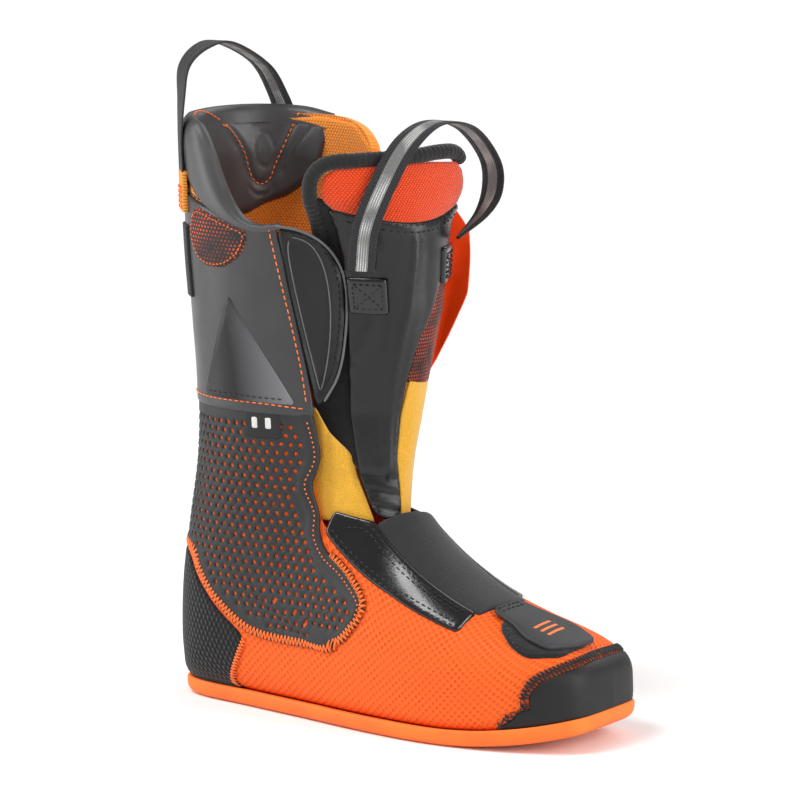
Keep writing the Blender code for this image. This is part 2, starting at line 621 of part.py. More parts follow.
def rear_loop(mats):
    path = [(18.7, -35.2, 306), (18.2, -35.6, 328), (20.5, -37.5, 349), (20.5, -34, 367), (23, -20, 377),
            (26, -2, 377.5), (29, 28, 363), (29, 46, 343), (32, 51, 325), (34, 51.6, 306)]
    across = [(.7, -.72, 0), (.7, -.72, 0), (.8, -.6, .1), (.95, -.4, .1), (1, -.1, 0), (1, .2, 0), (.95, .3, -.2),
              (1, .3, -.2), (1, .25, -.2), (1, .2, -.2)]
    ribbon("rear_loop", mats["web"], path, across, 13, 1.4, 26, np.mean(REAR_HINGE, axis=0))
    for side, s in (("lateral", 29.5), ("medial", -60)):
        tab = [(s, 284), (s + 15, 283), (s + 15, 302), (s, 303)]
        panel("rear_tab_" + side, mats["knit_orange"], levels.point, tab, -4.0, -2.6, (9, 12))


TAIL_HINGE = ((28.5, -41.5, 280), (16.5, -29, 280))


def strap_tail(mat):
    tail = [(28, 236), (43, 236), (44, 280), (29, 280)]
    panel("strap_tail", mat, levels.point, tail, -2.2, -0.9, (7, 14), np.mean(TAIL_HINGE, axis=0))


def build():
    collection = bpy.data.collections.new("ski_boot_liner")
    bpy.context.scene.collection.children.link(collection)
    mats = {
        "foam": material("foam_orange", ORANGE, 0.75), "black": material("toe_rubber", BLACK, 0.5),
        "gloss": material("patch_gloss", BLACK, 0.15), "knit_black": material("knit_black", BLACK, 0.9),
        "shell": material("shell_grey", SHELL_GREY, 0.55), "cuff": material("cuff_charcoal", CHARCOAL, 0.45),
        "collar": material("collar_charcoal", CHARCOAL, 0.5), "window": material("window_gloss", BLACK, 0.1),
        "label": material("label_white", WHITE, 0.6), "lining": material("lining_knit", KNIT_ORANGE, 0.9),
        "flap": material("flap_charcoal", CHARCOAL, 0.45), "flap_orange": material("flap_orange", RED_ORANGE, 0.35),
        "tongue": material("tongue_shell_grey", SHELL_GREY, 0.45), "mesh": material("mesh_orange", RED_ORANGE, 0.9),
        "web": material("webbing_grey", GREY_WEB, 0.8), "knit_orange": material("tab_orange", KNIT_ORANGE, 0.8),
        "fleece": material("fleece_mustard", MUSTARD, 0.95), "board": material("board_black", BLACK, 0.8),
        "bed": material("footbed_grey", CHARCOAL, 0.9), "tab": material("tab_charcoal", CHARCOAL, 0.6)}
    outsole(mats["foam"])
    slab("insole_board", mats["board"], 15.5, 16.6, 18.8)
    slab("footbed", mats["bed"], 12.5, 19.6, 24.4)
    lower_foam(mats["foam"])
    forefoot_panels(mats)
    toe_tab(mats["tab"])
    side_panels(mats)
    cuff_layers(mats)
    flap_lateral(mats["flap"])
    flap_medial(mats["flap_orange"])
    tongue_pieces(mats)
    tongue_binding(mats["knit_black"])
    tongue_loop(mats)
    gusset("gusset_lateral", mats["fleece"], 1)
    gusset("gusset_medial", mats["fleece"], -1)
    rear_loop(mats)
    strap_tail(mats["web"])


for old in list(bpy.data.objects):
    bpy.data.objects.remove(old)
levels = LevelChart()
ridges = RidgeChart()
build()
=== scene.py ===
"""Look of the ski-boot liner: dense panels, knit, foam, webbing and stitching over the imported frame.

Sizes are in millimetres, +X to the toe, +Y to the inner (medial) side, +Z up; uv maps are in millimetres too.
"""
import math
import bpy
import numpy as np
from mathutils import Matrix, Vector
from mathutils.geometry import delaunay_2d_cdt


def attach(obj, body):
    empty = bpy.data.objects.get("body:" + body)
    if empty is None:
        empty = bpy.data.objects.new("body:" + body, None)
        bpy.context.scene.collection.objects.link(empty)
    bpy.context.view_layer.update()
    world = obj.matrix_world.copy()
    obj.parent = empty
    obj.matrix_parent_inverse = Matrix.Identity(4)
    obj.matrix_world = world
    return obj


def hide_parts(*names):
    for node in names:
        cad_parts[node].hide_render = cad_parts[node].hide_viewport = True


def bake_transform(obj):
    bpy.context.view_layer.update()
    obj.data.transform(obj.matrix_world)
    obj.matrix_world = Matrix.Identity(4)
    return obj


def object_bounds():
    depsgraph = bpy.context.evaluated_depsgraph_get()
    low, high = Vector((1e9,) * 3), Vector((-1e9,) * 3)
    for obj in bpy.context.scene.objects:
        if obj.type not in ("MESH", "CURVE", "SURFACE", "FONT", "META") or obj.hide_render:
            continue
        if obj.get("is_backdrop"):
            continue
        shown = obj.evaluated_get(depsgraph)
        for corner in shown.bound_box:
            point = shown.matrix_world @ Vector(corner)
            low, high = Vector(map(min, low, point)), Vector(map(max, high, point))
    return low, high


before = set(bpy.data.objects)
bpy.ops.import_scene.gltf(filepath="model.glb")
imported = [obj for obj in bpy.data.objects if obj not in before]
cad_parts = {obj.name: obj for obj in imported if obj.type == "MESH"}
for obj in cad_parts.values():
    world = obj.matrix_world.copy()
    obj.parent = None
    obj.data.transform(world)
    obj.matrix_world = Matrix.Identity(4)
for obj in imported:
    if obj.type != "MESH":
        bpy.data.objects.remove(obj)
SIZE_AT_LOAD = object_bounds()

MM = 0.001
ORIGIN_X = 110.0          # the row's origin is the middle of the sole's flat zone
FOAM_SKIN = 1.3           # depth of the foam foot's outer face
FOAM_BACK = 7.5           # depth of the foam's inner face
THROAT_START = 7.2        # section where the foot's throat begins
SPRING_START = 195.0      # the toe rises in front of this length
SPRING_RUN = 92.0
SPRING_RISE = 13.0
HEM_Z = 178.0             # seam between the ankle and the cuff

# Sections from the toe tip, round the heel and up to the rim of the cuff. Each one is an oval between a
# bottom (then back) rail and a top (then front) rail: bottom x, z, top x, z, half width, sideways shift,
# widest place between the rails, squareness near the bottom rail and near the top rail.
SECTIONS = np.array([
    (282, 6, 282, 27, 0.0, 7, .50, 3.0, 3.4),
    (280, 6, 279, 36, 25.5, 6, .45, 4.6, 3.4),
    (268, 6, 268, 47, 37.5, 5, .42, 6.2, 3.1),
    (248, 6, 251, 58, 45.0, 3, .38, 6.5, 2.8),
    (219, 6, 227, 70, 49.5, 0, .36, 6.5, 2.5),
    (184, 6, 202, 83, 50.5, -2, .36, 6.5, 2.3),
    (144, 6, 181, 98, 47.0, -3, .38, 6.0, 2.2),
    (98, 6, 165, 113, 42.0, -2, .42, 5.2, 2.2),
    (54, 6, 153, 128, 39.0, -1, .46, 4.2, 2.2),
    (12, 7, 144, 143, 38.0, 0, .48, 3.2, 2.2),
    (1, 22, 137, 158, 38.0, 0, .48, 2.5, 2.2),
    (0, 60, 132, 174, 39.0, 0, .46, 2.2, 2.2),
    (6, 98, 128, 192, 40.5, 0, .46, 2.2, 2.2),
    (13, 138, 126, 213, 42.0, 0, .46, 2.2, 2.2),
    (15, 178, 126, 235, 44.0, 0, .46, 2.2, 2.2),
    (13, 220, 127, 258, 47.0, 0, .46, 2.2, 2.2),
    (10, 260, 128, 283, 49.0, 0, .46, 2.2, 2.2),
    (8, 298, 130, 309, 49.5, 0, .46, 2.2, 2.2),
    (7, 340, 132, 340, 49.5, 0, .46, 2.2, 2.2)])
LAST = len(SECTIONS) - 1
TIP_INSET = np.array([1, .85, .4, .1] + [0] * (LAST - 3))   # share of a depth taken off the toe's length

# Sections of the tongue by height: ridge x, y, turn about Z in degrees, half width, depth of the bow.
TONGUE = np.array([
    (112, 151, -8, 5, 15, 5),
    (140, 150, -3, 12, 22, 18),
    (175, 152, -1, 18, 28, 26),
    (234, 160, 0, 22, 36, 32),
    (264, 161, -2, 23, 39, 33),
    (280, 160, -4, 24, 42, 30),
    (300, 157, -6, 25, 51, 22),
    (325, 155, -7, 26, 54, 19)], float)
TONGUE_LATERAL = 0.94     # edges of the tongue shell across its width
TONGUE_MEDIAL = -0.84
TONGUE_FOOT = 116.0

MEDIAL_SEAM = ((91.5, 47, 290), (104.5, 34.5, 180))
MEDIAL_EDGE = np.array([(132, 39, 178), (140, 43, 200), (150, 51, 238), (154, 56, 272), (152, 58, 292)],
                       float)
BOW = 3.0                 # bow of the inner flap between its seam and its free edge
TONGUE_HALF = 45.0        # the tongue chart's x at the tongue's outer edge
FLAP_WIDE = 50.0          # the inner flap chart's x at the flap's free edge
THROAT_S = 114.0          # where the gussets leave the wall, round from the back
THROAT_DEPTH = 8.5
GUSSET_WIDE = 28.0        # the gusset chart's x at the tongue's edge
STITCH_LONG = 2.6
STITCH_GAP = 1.3
STITCH_THICK = 0.38
LEG_RINGS = 5             # rings along one stitch
LEG_SIDES = 6             # points round one stitch
HOLE_SIDES = 8            # corners of a perforation


# ---------------------------------------------------------------- the form
def spline(knots, t):
    """Catmull-Rom curve through evenly spaced knots."""
    last = len(knots) - 1
    t = np.clip(np.asarray(t, float), 0, last)
    cell = np.minimum(t.astype(int), last - 1)
    f = (t - cell)[..., None]
    ends = [2 * knots[0] - knots[1]], knots, [2 * knots[-1] - knots[-2]]
    padded = np.concatenate(ends)
    p0, p1, p2, p3 = (padded[cell + k] for k in range(4))
    return 0.5 * (2 * p1 + (p2 - p0) * f + (2 * p0 - 5 * p1 + 4 * p2 - p3) * f**2
                  + (3 * p1 - p0 - 3 * p2 + p3) * f**3)


def toe_spring(x):
    return SPRING_RISE * np.clip((x - SPRING_START) / SPRING_RUN, 0, None)**2


def form(angle, t, depth=0.0):
    """Point on the liner's surface, depth mm under it: angle 0 is the top rail, pi the bottom rail."""
    angle, t, depth = np.broadcast_arrays(np.asarray(angle, float), np.asarray(t, float),
                                          np.asarray(depth, float))
    bx, bz, fx, fz, w, shift, widest, low, high = np.moveaxis(spline(SECTIONS, t), -1, 0)
    tip = spline(TIP_INSET[:, None], t)[..., 0] * depth
    length = np.hypot(fx - bx, fz - bz)
    ex, ez = (fx - bx) / length * depth, (fz - bz) / length * depth
    bx, bz, fx, fz = bx + ex - tip, bz + ez, fx - ex - tip, fz - ez
    w = np.maximum(w - depth, 0) * np.clip(t * 4, 0, 1)
    cos, sin = np.cos(angle), np.sin(angle)
    power = 2 / np.where(cos > 0, high, low)
    across = np.sign(sin) * np.abs(sin)**power
    along = np.sign(cos) * np.abs(cos)**power
    share = np.where(along > 0, widest + (1 - widest) * along, widest * (1 + along))
    x = bx + share * (fx - bx)
    return np.stack([x, shift - w * across, bz + share * (fz - bz) + toe_spring(x)], -1)


class LevelChart:
    """Maps (s, z) to the form: s runs round a level line from the back centreline, outer side positive."""
    COLUMNS = 161
    LEVELS = np.linspace(7, 340, 112)

    def __init__(self):
        self.tables = {side: self.trace(side) for side in (1, -1)}

    def trace(self, side):
        t = np.linspace(0, LAST, 361)
        angle = np.pi * (1 - np.linspace(0, 1, self.COLUMNS)**1.3)
        points = form(side * angle[:, None], t[None, :])
        height = points[..., 2] - toe_spring(points[..., 0])
        height = np.maximum.accumulate(height, axis=1) + np.arange(len(t)) * 1e-6
        rows = []
        for level in self.LEVELS:
            reached = np.nonzero(height[:, 0] <= level)[0].max()
            a = angle[:reached + 1]
            tt = np.array([np.interp(level, height[i], t) for i in range(reached + 1)])
            if reached < self.COLUMNS - 1:
                low, high = height[reached, 0], height[reached + 1, 0]
                f = np.clip((level - low) / max(high - low, 1e-9), 0, 1)
                a = np.append(a, angle[reached] + f * (angle[reached + 1] - angle[reached]))
                tt = np.append(tt, 0.0)
            line = form(side * a, tt)[:, :2]
            run = np.append(0, np.cumsum(np.linalg.norm(np.diff(line, axis=0), axis=1)))
            even = np.linspace(0, run[-1], self.COLUMNS)
            rows.append((even, np.interp(even, run, a), np.interp(even, run, tt)))
        return np.array(rows)

    def half_length(self, z, side=1):
        return np.interp(z, self.LEVELS, self.tables[side][:, 0, -1])

    def share(self, side, share, z, depth=0.0):
        """Point at a share of the way from the back (0) to the front (1) on one side."""
        row = np.clip((z - self.LEVELS[0]) / (self.LEVELS[1] - self.LEVELS[0]), 0, len(self.LEVELS) - 1.001)
        column = np.clip(share, 0, 1) * (self.COLUMNS - 1)
        i, j = row.astype(int), np.minimum(column.astype(int), self.COLUMNS - 2)
        f, g = row - i, column - j
        angle, t = (
            (table[i, j] * (1 - g) + table[i, j + 1] * g) * (1 - f)
            + (table[i + 1, j] * (1 - g) + table[i + 1, j + 1] * g) * f
            for table in (self.tables[side][:, 1], self.tables[side][:, 2]))
        return form(side * angle, t, depth)

    def point(self, s, z, depth=0.0):
        s, z, depth = np.broadcast_arrays(np.asarray(s, float), np.asarray(z, float),
                                          np.asarray(depth, float))
        out = np.zeros(s.shape + (3,))
        for side in (1, -1):
            mine = (s >= 0) if side > 0 else (s < 0)
            out[mine] = self.share(side, np.abs(s[mine]) / self.half_length(z[mine], side), z[mine],
                                   depth[mine])
        return out

    def front_point(self, s, z, depth=0.0):
        """The same with s counted from the front centreline."""
        s, z = np.broadcast_arrays(np.asarray(s, float), np.asarray(z, float))
        half = np.where(s >= 0, self.half_length(z, 1), self.half_length(z, -1))
        return self.point(np.where(s >= 0, 1, -1) * np.maximum(half - np.abs(s), 0.01), z, depth)


class RidgeChart:
    """Maps (q, l) to the form: l runs back from the toe tip along the top rail, q down to the outer side."""

    def __init__(self):
        self.t = np.linspace(0, LAST, 361)
        self.angle = np.linspace(0, np.pi, 91)
        ridge = form(0.0001, self.t)
        self.run = np.append(0, np.cumsum(np.linalg.norm(np.diff(ridge, axis=0), axis=1)))
        self.across = {}
        for side in (1, -1):
            points = form(side * self.angle[None, :], self.t[:, None])
            steps = np.cumsum(np.linalg.norm(np.diff(points, axis=1), axis=2), axis=1)
            self.across[side] = np.concatenate([np.zeros((len(self.t), 1)), steps], axis=1)

    def point(self, q, l, depth=0.0):
        q, l = np.broadcast_arrays(np.asarray(q, float), np.asarray(l, float))
        t = np.interp(l, self.run, self.t)
        row = t / LAST * (len(self.t) - 1.001)
        angle = np.zeros(q.shape)
        for k in np.ndindex(q.shape):
            side = 1 if q[k] >= 0 else -1
            i = int(row[k])
            f = row[k] - i
            steps = self.across[side][i] * (1 - f) + self.across[side][i + 1] * f
            angle[k] = side * np.interp(abs(q[k]), steps, self.angle)
        return form(angle, t, depth)


def tongue_point(v, z, depth=0.0):
    """Point on the tongue: v 0 is its ridge, 1 its outer edge; depth goes in towards the leg."""
    v, z, depth = np.broadcast_arrays(np.asarray(v, float), np.asarray(z, float), np.asarray(depth, float))
    x, y, turn, width, bow = (np.interp(z, TONGUE[:, 0], TONGUE[:, k]) for k in range(1, 6))
    turn = np.radians(turn)
    forward = np.stack([np.cos(turn), -np.sin(turn), 0 * turn], -1)
    outward = np.stack([-np.sin(turn), -np.cos(turn), 0 * turn], -1)
    slope = 2 * bow * v / width
    normal = (forward + slope[..., None] * outward) / np.sqrt(1 + slope**2)[..., None]
    ridge = np.stack([x, y, z], -1)
    surface = ridge + (width * v)[..., None] * outward - (bow * v**2)[..., None] * forward
    return surface - depth[..., None] * normal


def medial_flap_point(u, z, depth=0.0):
    """Point on the inner flap: u 0 at its seam, 1 at its free front edge."""
    u, z, depth = np.broadcast_arrays(np.asarray(u, float), np.asarray(z, float), np.asarray(depth, float))
    high, low = (np.array(corner) for corner in MEDIAL_SEAM)
    f = (z - low[2]) / (high[2] - low[2])
    seam = low + f[..., None] * (high - low)
    edge = np.stack([np.interp(z, MEDIAL_EDGE[:, 2], MEDIAL_EDGE[:, k]) for k in range(3)], -1)
    out = np.array([0.1, 0.99, 0.0])
    return seam + u[..., None] * (edge - seam) + (BOW * np.sin(np.pi * u) - depth)[..., None] * out


def tongue_chart(x, z, depth=0.0):
    """The tongue by x across and height: x 0 is its ridge, TONGUE_HALF its outer edge."""
    return tongue_point(np.asarray(x) / TONGUE_HALF, z, depth)


def medial_flap_chart(x, z, depth=0.0):
    """The inner flap by x across and height: x 0 is its seam, FLAP_WIDE its free edge."""
    return medial_flap_point(np.asarray(x) / FLAP_WIDE, z, depth)


def gusset_chart(side, bulge):
    """The stretch panel on one side, by x from the wall (0) to the tongue (GUSSET_WIDE) and height.

    The medial panel carries on past that, across the front of the tongue.
    """
    out = np.array([0.75, -0.65 * side, 0.0])

    def chart(x, z, depth=0.0):
        x, z, depth = np.broadcast_arrays(np.asarray(x, float), np.asarray(z, float),
                                          np.asarray(depth, float))
        wall = levels.point(side * THROAT_S + 0 * z, z, THROAT_DEPTH + depth)
        share = np.clip(x / GUSSET_WIDE, 0, 1)[..., None]
        if side > 0:
            edge = tongue_point(1.0 + 0 * z, z, 3 + depth)
        else:
            edge = tongue_point(-0.85 + np.maximum(x - GUSSET_WIDE, 0) / 30, z, 0.5 + depth)
        return wall + share * (edge - wall) + bulge * np.sin(np.pi * share) * out
    return chart


# ---------------------------------------------------------------- outlines
def smooth(outline, rounds=3, closed=True):
    """Rounds the corners of an outline by cutting them off again and again."""
    line = np.array(outline, float)
    for _ in range(rounds):
        after = np.roll(line, -1, axis=0) if closed else line[1:]
        before = line if closed else line[:-1]
        cut = np.stack([0.75 * before + 0.25 * after, 0.25 * before + 0.75 * after], 1).reshape(-1, 2)
        line = cut if closed else np.concatenate([line[:1], cut, line[-1:]])
    return line


def rounded(outline, radius=2.0):
    """The outline with small round corners."""
    line = np.array(outline, float)
    out = []
    for before, here, after in zip(np.roll(line, 1, axis=0), line, np.roll(line, -1, axis=0)):
        ends = []
        for other in (before, after):
            gap = np.linalg.norm(other - here)
            ends.append(here + (other - here) * min(radius / gap, 0.45))
        for f in (0, 0.25, 0.5, 0.75, 1):
            out.append((1 - f)**2 * ends[0] + 2 * f * (1 - f) * here + f**2 * ends[1])
    return np.array(out)


def mirrored(outline):
    return [(-s, z) for s, z in reversed(outline)]


def even(line, step, closed=False):
    """Points at even distances along a line."""
    line = np.array(line, float)
    if closed:
        line = np.concatenate([line, line[:1]])
    run = np.append(0, np.cumsum(np.linalg.norm(np.diff(line, axis=0), axis=1)))
    count = max(2, int(round(run[-1] / step)))
    at = np.linspace(0, run[-1], count + 1)
    out = np.stack([np.interp(at, run, line[:, k]) for k in range(line.shape[1])], -1)
    return out[:-1] if closed else out


def curve(points, step=1.0):
    """Smooth line through points, sampled at even distances."""
    points = np.array(points, float)
    return even(spline(points, np.linspace(0, len(points) - 1, 24 * len(points))), step)


def inside(points, outline):
    """Even-odd test of points against an outline."""
    x, y = points[:, 0:1], points[:, 1:2]
    a, b = outline, np.roll(outline, -1, axis=0)
    spans = (a[:, 1] > y) != (b[:, 1] > y)
    rise = np.where(b[:, 1] == a[:, 1], 1e-9, b[:, 1] - a[:, 1])
    crossing = x < (b[:, 0] - a[:, 0]) * (y - a[:, 1]) / rise + a[:, 0]
    return (spans & crossing).sum(axis=1) % 2 == 1


def distance(points, line, closed=True):
    """Distance of each point from a line."""
    a = line if closed else line[:-1]
    b = np.roll(line, -1, axis=0) if closed else line[1:]
    best = np.full(len(points), 1e9)
    for p, q in zip(a, b):
        run = q - p
        f = np.clip((points - p) @ run / max(run @ run, 1e-9), 0, 1)
        best = np.minimum(best, np.linalg.norm(points - p - f[:, None] * run, axis=1))
    return best


def inset(edge, by):
    """The outline moved in by a distance, without the points that land too close to it."""
    along = np.roll(edge, -1, axis=0) - np.roll(edge, 1, axis=0)
    normal = np.stack([-along[:, 1], along[:, 0]], -1)
    normal /= np.maximum(np.linalg.norm(normal, axis=1), 1e-9)[:, None]
    area = (edge[:, 0] * np.roll(edge[:, 1], -1) - edge[:, 1] * np.roll(edge[:, 0], -1)).sum()
    moved = edge + by * (1 if area > 0 else -1) * normal
    return moved[inside(moved, edge) & (distance(moved, edge) > 0.93 * by)]


def fill(outline, step, rim, holes=(), hole_radius=0.0):
    """Triangles that fill an outline, with extra rows along its edge and round holes cut out of it."""
    edge = even(outline, step * 0.6, closed=True)
    rows = [edge] + [inset(edge, rim * share) for share in (0.12, 0.4, 1.0)]
    low, high = edge.min(axis=0), edge.max(axis=0)
    grid = np.array([(x + 0.5 * step * (k % 2), y)
                     for k, y in enumerate(np.arange(low[1] + 0.4 * step, high[1], 0.87 * step))
                     for x in np.arange(low[0] + 0.3 * step, high[0], step)])
    grid = grid[inside(grid, edge)]
    grid = grid[distance(grid, edge) > rim + 0.4 * step]
    loops = [(k, (k + 1) % len(edge)) for k in range(len(edge))]
    turn = np.arange(HOLE_SIDES) * 2 * np.pi / HOLE_SIDES
    circle = hole_radius * np.stack([np.cos(turn), np.sin(turn)], -1)
    rings = []
    start = len(edge)
    for centre in holes:
        grid = grid[np.linalg.norm(grid - centre, axis=1) > hole_radius + 0.8]
        rings.append(circle + centre)
        loops += [(start + k, start + (k + 1) % HOLE_SIDES) for k in range(HOLE_SIDES)]
        start += HOLE_SIDES
    points = np.concatenate([edge] + rings + rows[1:] + [grid])
    verts, _, faces, _, _, _ = delaunay_2d_cdt([Vector(p) for p in points], loops, [], 0, 1e-5)
    verts = np.array([tuple(v) for v in verts])
    faces = [f for f in faces if len(f) == 3]
    centres = np.array([verts[list(f)].mean(axis=0) for f in faces])
    keep = inside(centres, edge)
    if len(holes):
        away = np.linalg.norm(verts[:, None] - np.array(holes)[None], axis=2)
        ring = np.where(away.min(axis=1) < hole_radius + 0.02, away.argmin(axis=1), -1)
        keep &= [ring[f[0]] < 0 or len({ring[k] for k in f}) > 1 for f in faces]
    return verts, [f for f, ok in zip(faces, keep) if ok], distance(verts, edge)


# ---------------------------------------------------------------- meshes
def borders(faces):
    open_edges = {}
    for f in faces:
        for a, b in zip(f, f[1:] + f[:1]):
            if (b, a) in open_edges:
                del open_edges[(b, a)]
            else:
                open_edges[(a, b)] = True
    return list(open_edges)


def join(parts):
    """Puts several (points, faces, uv) meshes into one."""
    points, faces, uv = [], [], []
    count = 0
    for p, f, m in parts:
        points.append(p)
        uv.append(m)
        faces += [tuple(k + count for k in face) for face in f]
        count += len(p)
    return np.concatenate(points), faces, np.concatenate(uv)


def add(name, parts, mat, body, nodes=()):
    """Adds a piece made of meshes in mm; it rides a body, or none when no body is given."""
    points, faces, uv = join(parts)
    mesh = bpy.data.meshes.new(name)
    mesh.from_pydata(((points - (ORIGIN_X, 0, 0)) * MM).tolist(), [], [list(f) for f in faces])
    layer = mesh.uv_layers.new(name="UVMap")
    corner = np.zeros(len(mesh.loops), int)
    mesh.loops.foreach_get("vertex_index", corner)
    layer.data.foreach_set("uv", uv[corner].astype(np.float32).ravel())
    mesh.shade_smooth()
    mesh.set_sharp_from_angle(angle=math.radians(62))
    mesh.materials.append(mat)
    obj = bpy.data.objects.new(name, mesh)
    bpy.context.scene.collection.objects.link(obj)
    if body:
        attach(obj, body)
    if nodes:
        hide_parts(*nodes)
    return obj


def sheet(chart, outline, top, thick, step=2.6, rim=1.2, out=1, relief=None, holes=(), hole_radius=0.0,
          back=False):
    """A panel over an outline in a chart. Its face is at depth top; out is -1 for a face turned to the leg.

    top may be a function of the chart; relief gives extra height at chart points and edge distances.
    """
    flat, faces, near = fill(outline, step, rim, holes, hole_radius)
    bow = thick * np.sqrt(np.clip(1 - (1 - np.clip(near / rim, 0, 1))**2, 0, 1))
    if relief is not None:
        bow = bow + relief(flat[:, 0], flat[:, 1], near) * np.clip(near / rim, 0, 1)
    if callable(top):
        top = top(flat[:, 0], flat[:, 1])
    face = chart(flat[:, 0], flat[:, 1], top + out * (thick - bow))
    count = len(flat)
    points, tris = [face], [tuple(f) for f in faces]
    if out < 0:
        tris = [f[::-1] for f in tris]
    rims = borders(tris)
    if back:
        under = chart(flat[:, 0], flat[:, 1], top + out * (thick + 0.02))
        points.append(under)
        tris += [tuple(count + k for k in f[::-1]) for f in tris]
    elif len(holes):
        wall = sorted({k for edge in rims for k in edge if near[k] > rim})
        place = {k: count + n for n, k in enumerate(wall)}
        points.append(chart(flat[wall, 0], flat[wall, 1], top + out * thick))
        tris += [(a, place[a], place[b], b) for a, b in rims if a in place and b in place]
        flat = np.concatenate([flat, flat[wall]])
    if back:
        tris += [(b, a, count + a, count + b) for a, b in rims]
        flat = np.concatenate([flat, flat])
    return np.concatenate(points), tris, flat


def grid_mesh(points, closed=False, flip=False):
    """Quads between rows of points (rows, columns, 3); closed joins the last column to the first."""
    rows, columns = points.shape[:2]
    steps_u = np.linalg.norm(np.diff(points, axis=1), axis=2)
    steps_v = np.linalg.norm(np.diff(points, axis=0), axis=2)
    u = np.concatenate([np.zeros((rows, 1)), np.cumsum(steps_u, axis=1)], axis=1)
    v = np.concatenate([np.zeros((1, columns)), np.cumsum(steps_v, axis=0)], axis=0)
    faces = []
    for r in range(rows - 1):
        for c in range(columns if closed else columns - 1):
            n = (c + 1) % columns
            face = (r * columns + c, r * columns + n, (r + 1) * columns + n, (r + 1) * columns + c)
            faces.append(face[::-1] if flip else face)
    return points.reshape(-1, 3), faces, np.stack([u, v], -1).reshape(-1, 2)


def frames_along(line, side):
    tangent = np.gradient(line, axis=0)
    tangent /= np.linalg.norm(tangent, axis=1)[:, None]
    side = side - (side * tangent).sum(1)[:, None] * tangent
    side = side / np.linalg.norm(side, axis=1)[:, None]
    return side, np.cross(tangent, side)


def webbing(path, across, width, thick, step=1.6):
    """A strap along a smooth path, with rounded edges; uv is across (mm) and along (mm)."""
    count = int(20 * len(path))
    at = np.linspace(0, len(path) - 1, count)
    line = spline(np.array(path, float), at)
    run = np.append(0, np.cumsum(np.linalg.norm(np.diff(line, axis=0), axis=1)))
    at = np.interp(np.linspace(0, run[-1], int(run[-1] / step)), run, at)
    line = spline(np.array(path, float), at)
    side, normal = frames_along(line, spline(np.array(across, float), at))
    turn = np.linspace(0, 2 * np.pi, 25)[:-1]
    wide = np.sign(np.cos(turn)) * abs(np.cos(turn))**0.35 * width / 2
    deep = np.sign(np.sin(turn)) * abs(np.sin(turn))**0.5 * thick / 2
    rows = line[:, None] + wide[:, None] * side[:, None] + deep[:, None] * normal[:, None]
    points, faces, uv = grid_mesh(rows, closed=True)
    uv[:, 0] = np.tile(wide, len(line))
    return points, faces, uv


def piping(line, radius, sides=10, bulge=None):
    """A round tube along points, ends closed to a tip; bulge gives a factor on the radius along the run."""
    line = np.array(line, float)
    side, normal = frames_along(line, np.tile((0.31, 0.52, 0.79), (len(line), 1)))
    run = np.append(0, np.cumsum(np.linalg.norm(np.diff(line, axis=0), axis=1)))
    size = radius * (np.ones(len(line)) if bulge is None else bulge(run))
    end = np.minimum(run, run[-1] - run) / radius
    size = size * np.sqrt(np.clip(1 - (1 - np.clip(end, 0.02, 1))**2, 0, 1))
    turn = np.linspace(0, 2 * np.pi, sides + 1)[:-1]
    ring = (np.cos(turn)[None, :, None] * side[:, None] + np.sin(turn)[None, :, None] * normal[:, None])
    return grid_mesh(line[:, None] + ring * size[:, None, None], closed=True)


# ---------------------------------------------------------------- thread
def legs_along(line, length=STITCH_LONG, gap=STITCH_GAP):
    """Straight stitches along a chart line."""
    line = np.array(line, float)
    run = np.append(0, np.cumsum(np.linalg.norm(np.diff(line, axis=0), axis=1)))
    starts = np.arange(0, run[-1] - length, length + gap)
    ends = [np.stack([np.interp(starts + k, run, line[:, c]) for c in (0, 1)], -1) for k in (0, length)]
    return np.stack(ends, 1)


def legs_zigzag(line, width, pitch):
    """Zigzag stitches along a chart line."""
    line = even(line, pitch / 2)
    along = np.gradient(line, axis=0)
    normal = np.stack([-along[:, 1], along[:, 0]], -1)
    normal /= np.linalg.norm(normal, axis=1)[:, None]
    line = line + normal * width / 2 * np.where(np.arange(len(line)) % 2, 1, -1)[:, None]
    return np.stack([line[:-1], line[1:]], 1)


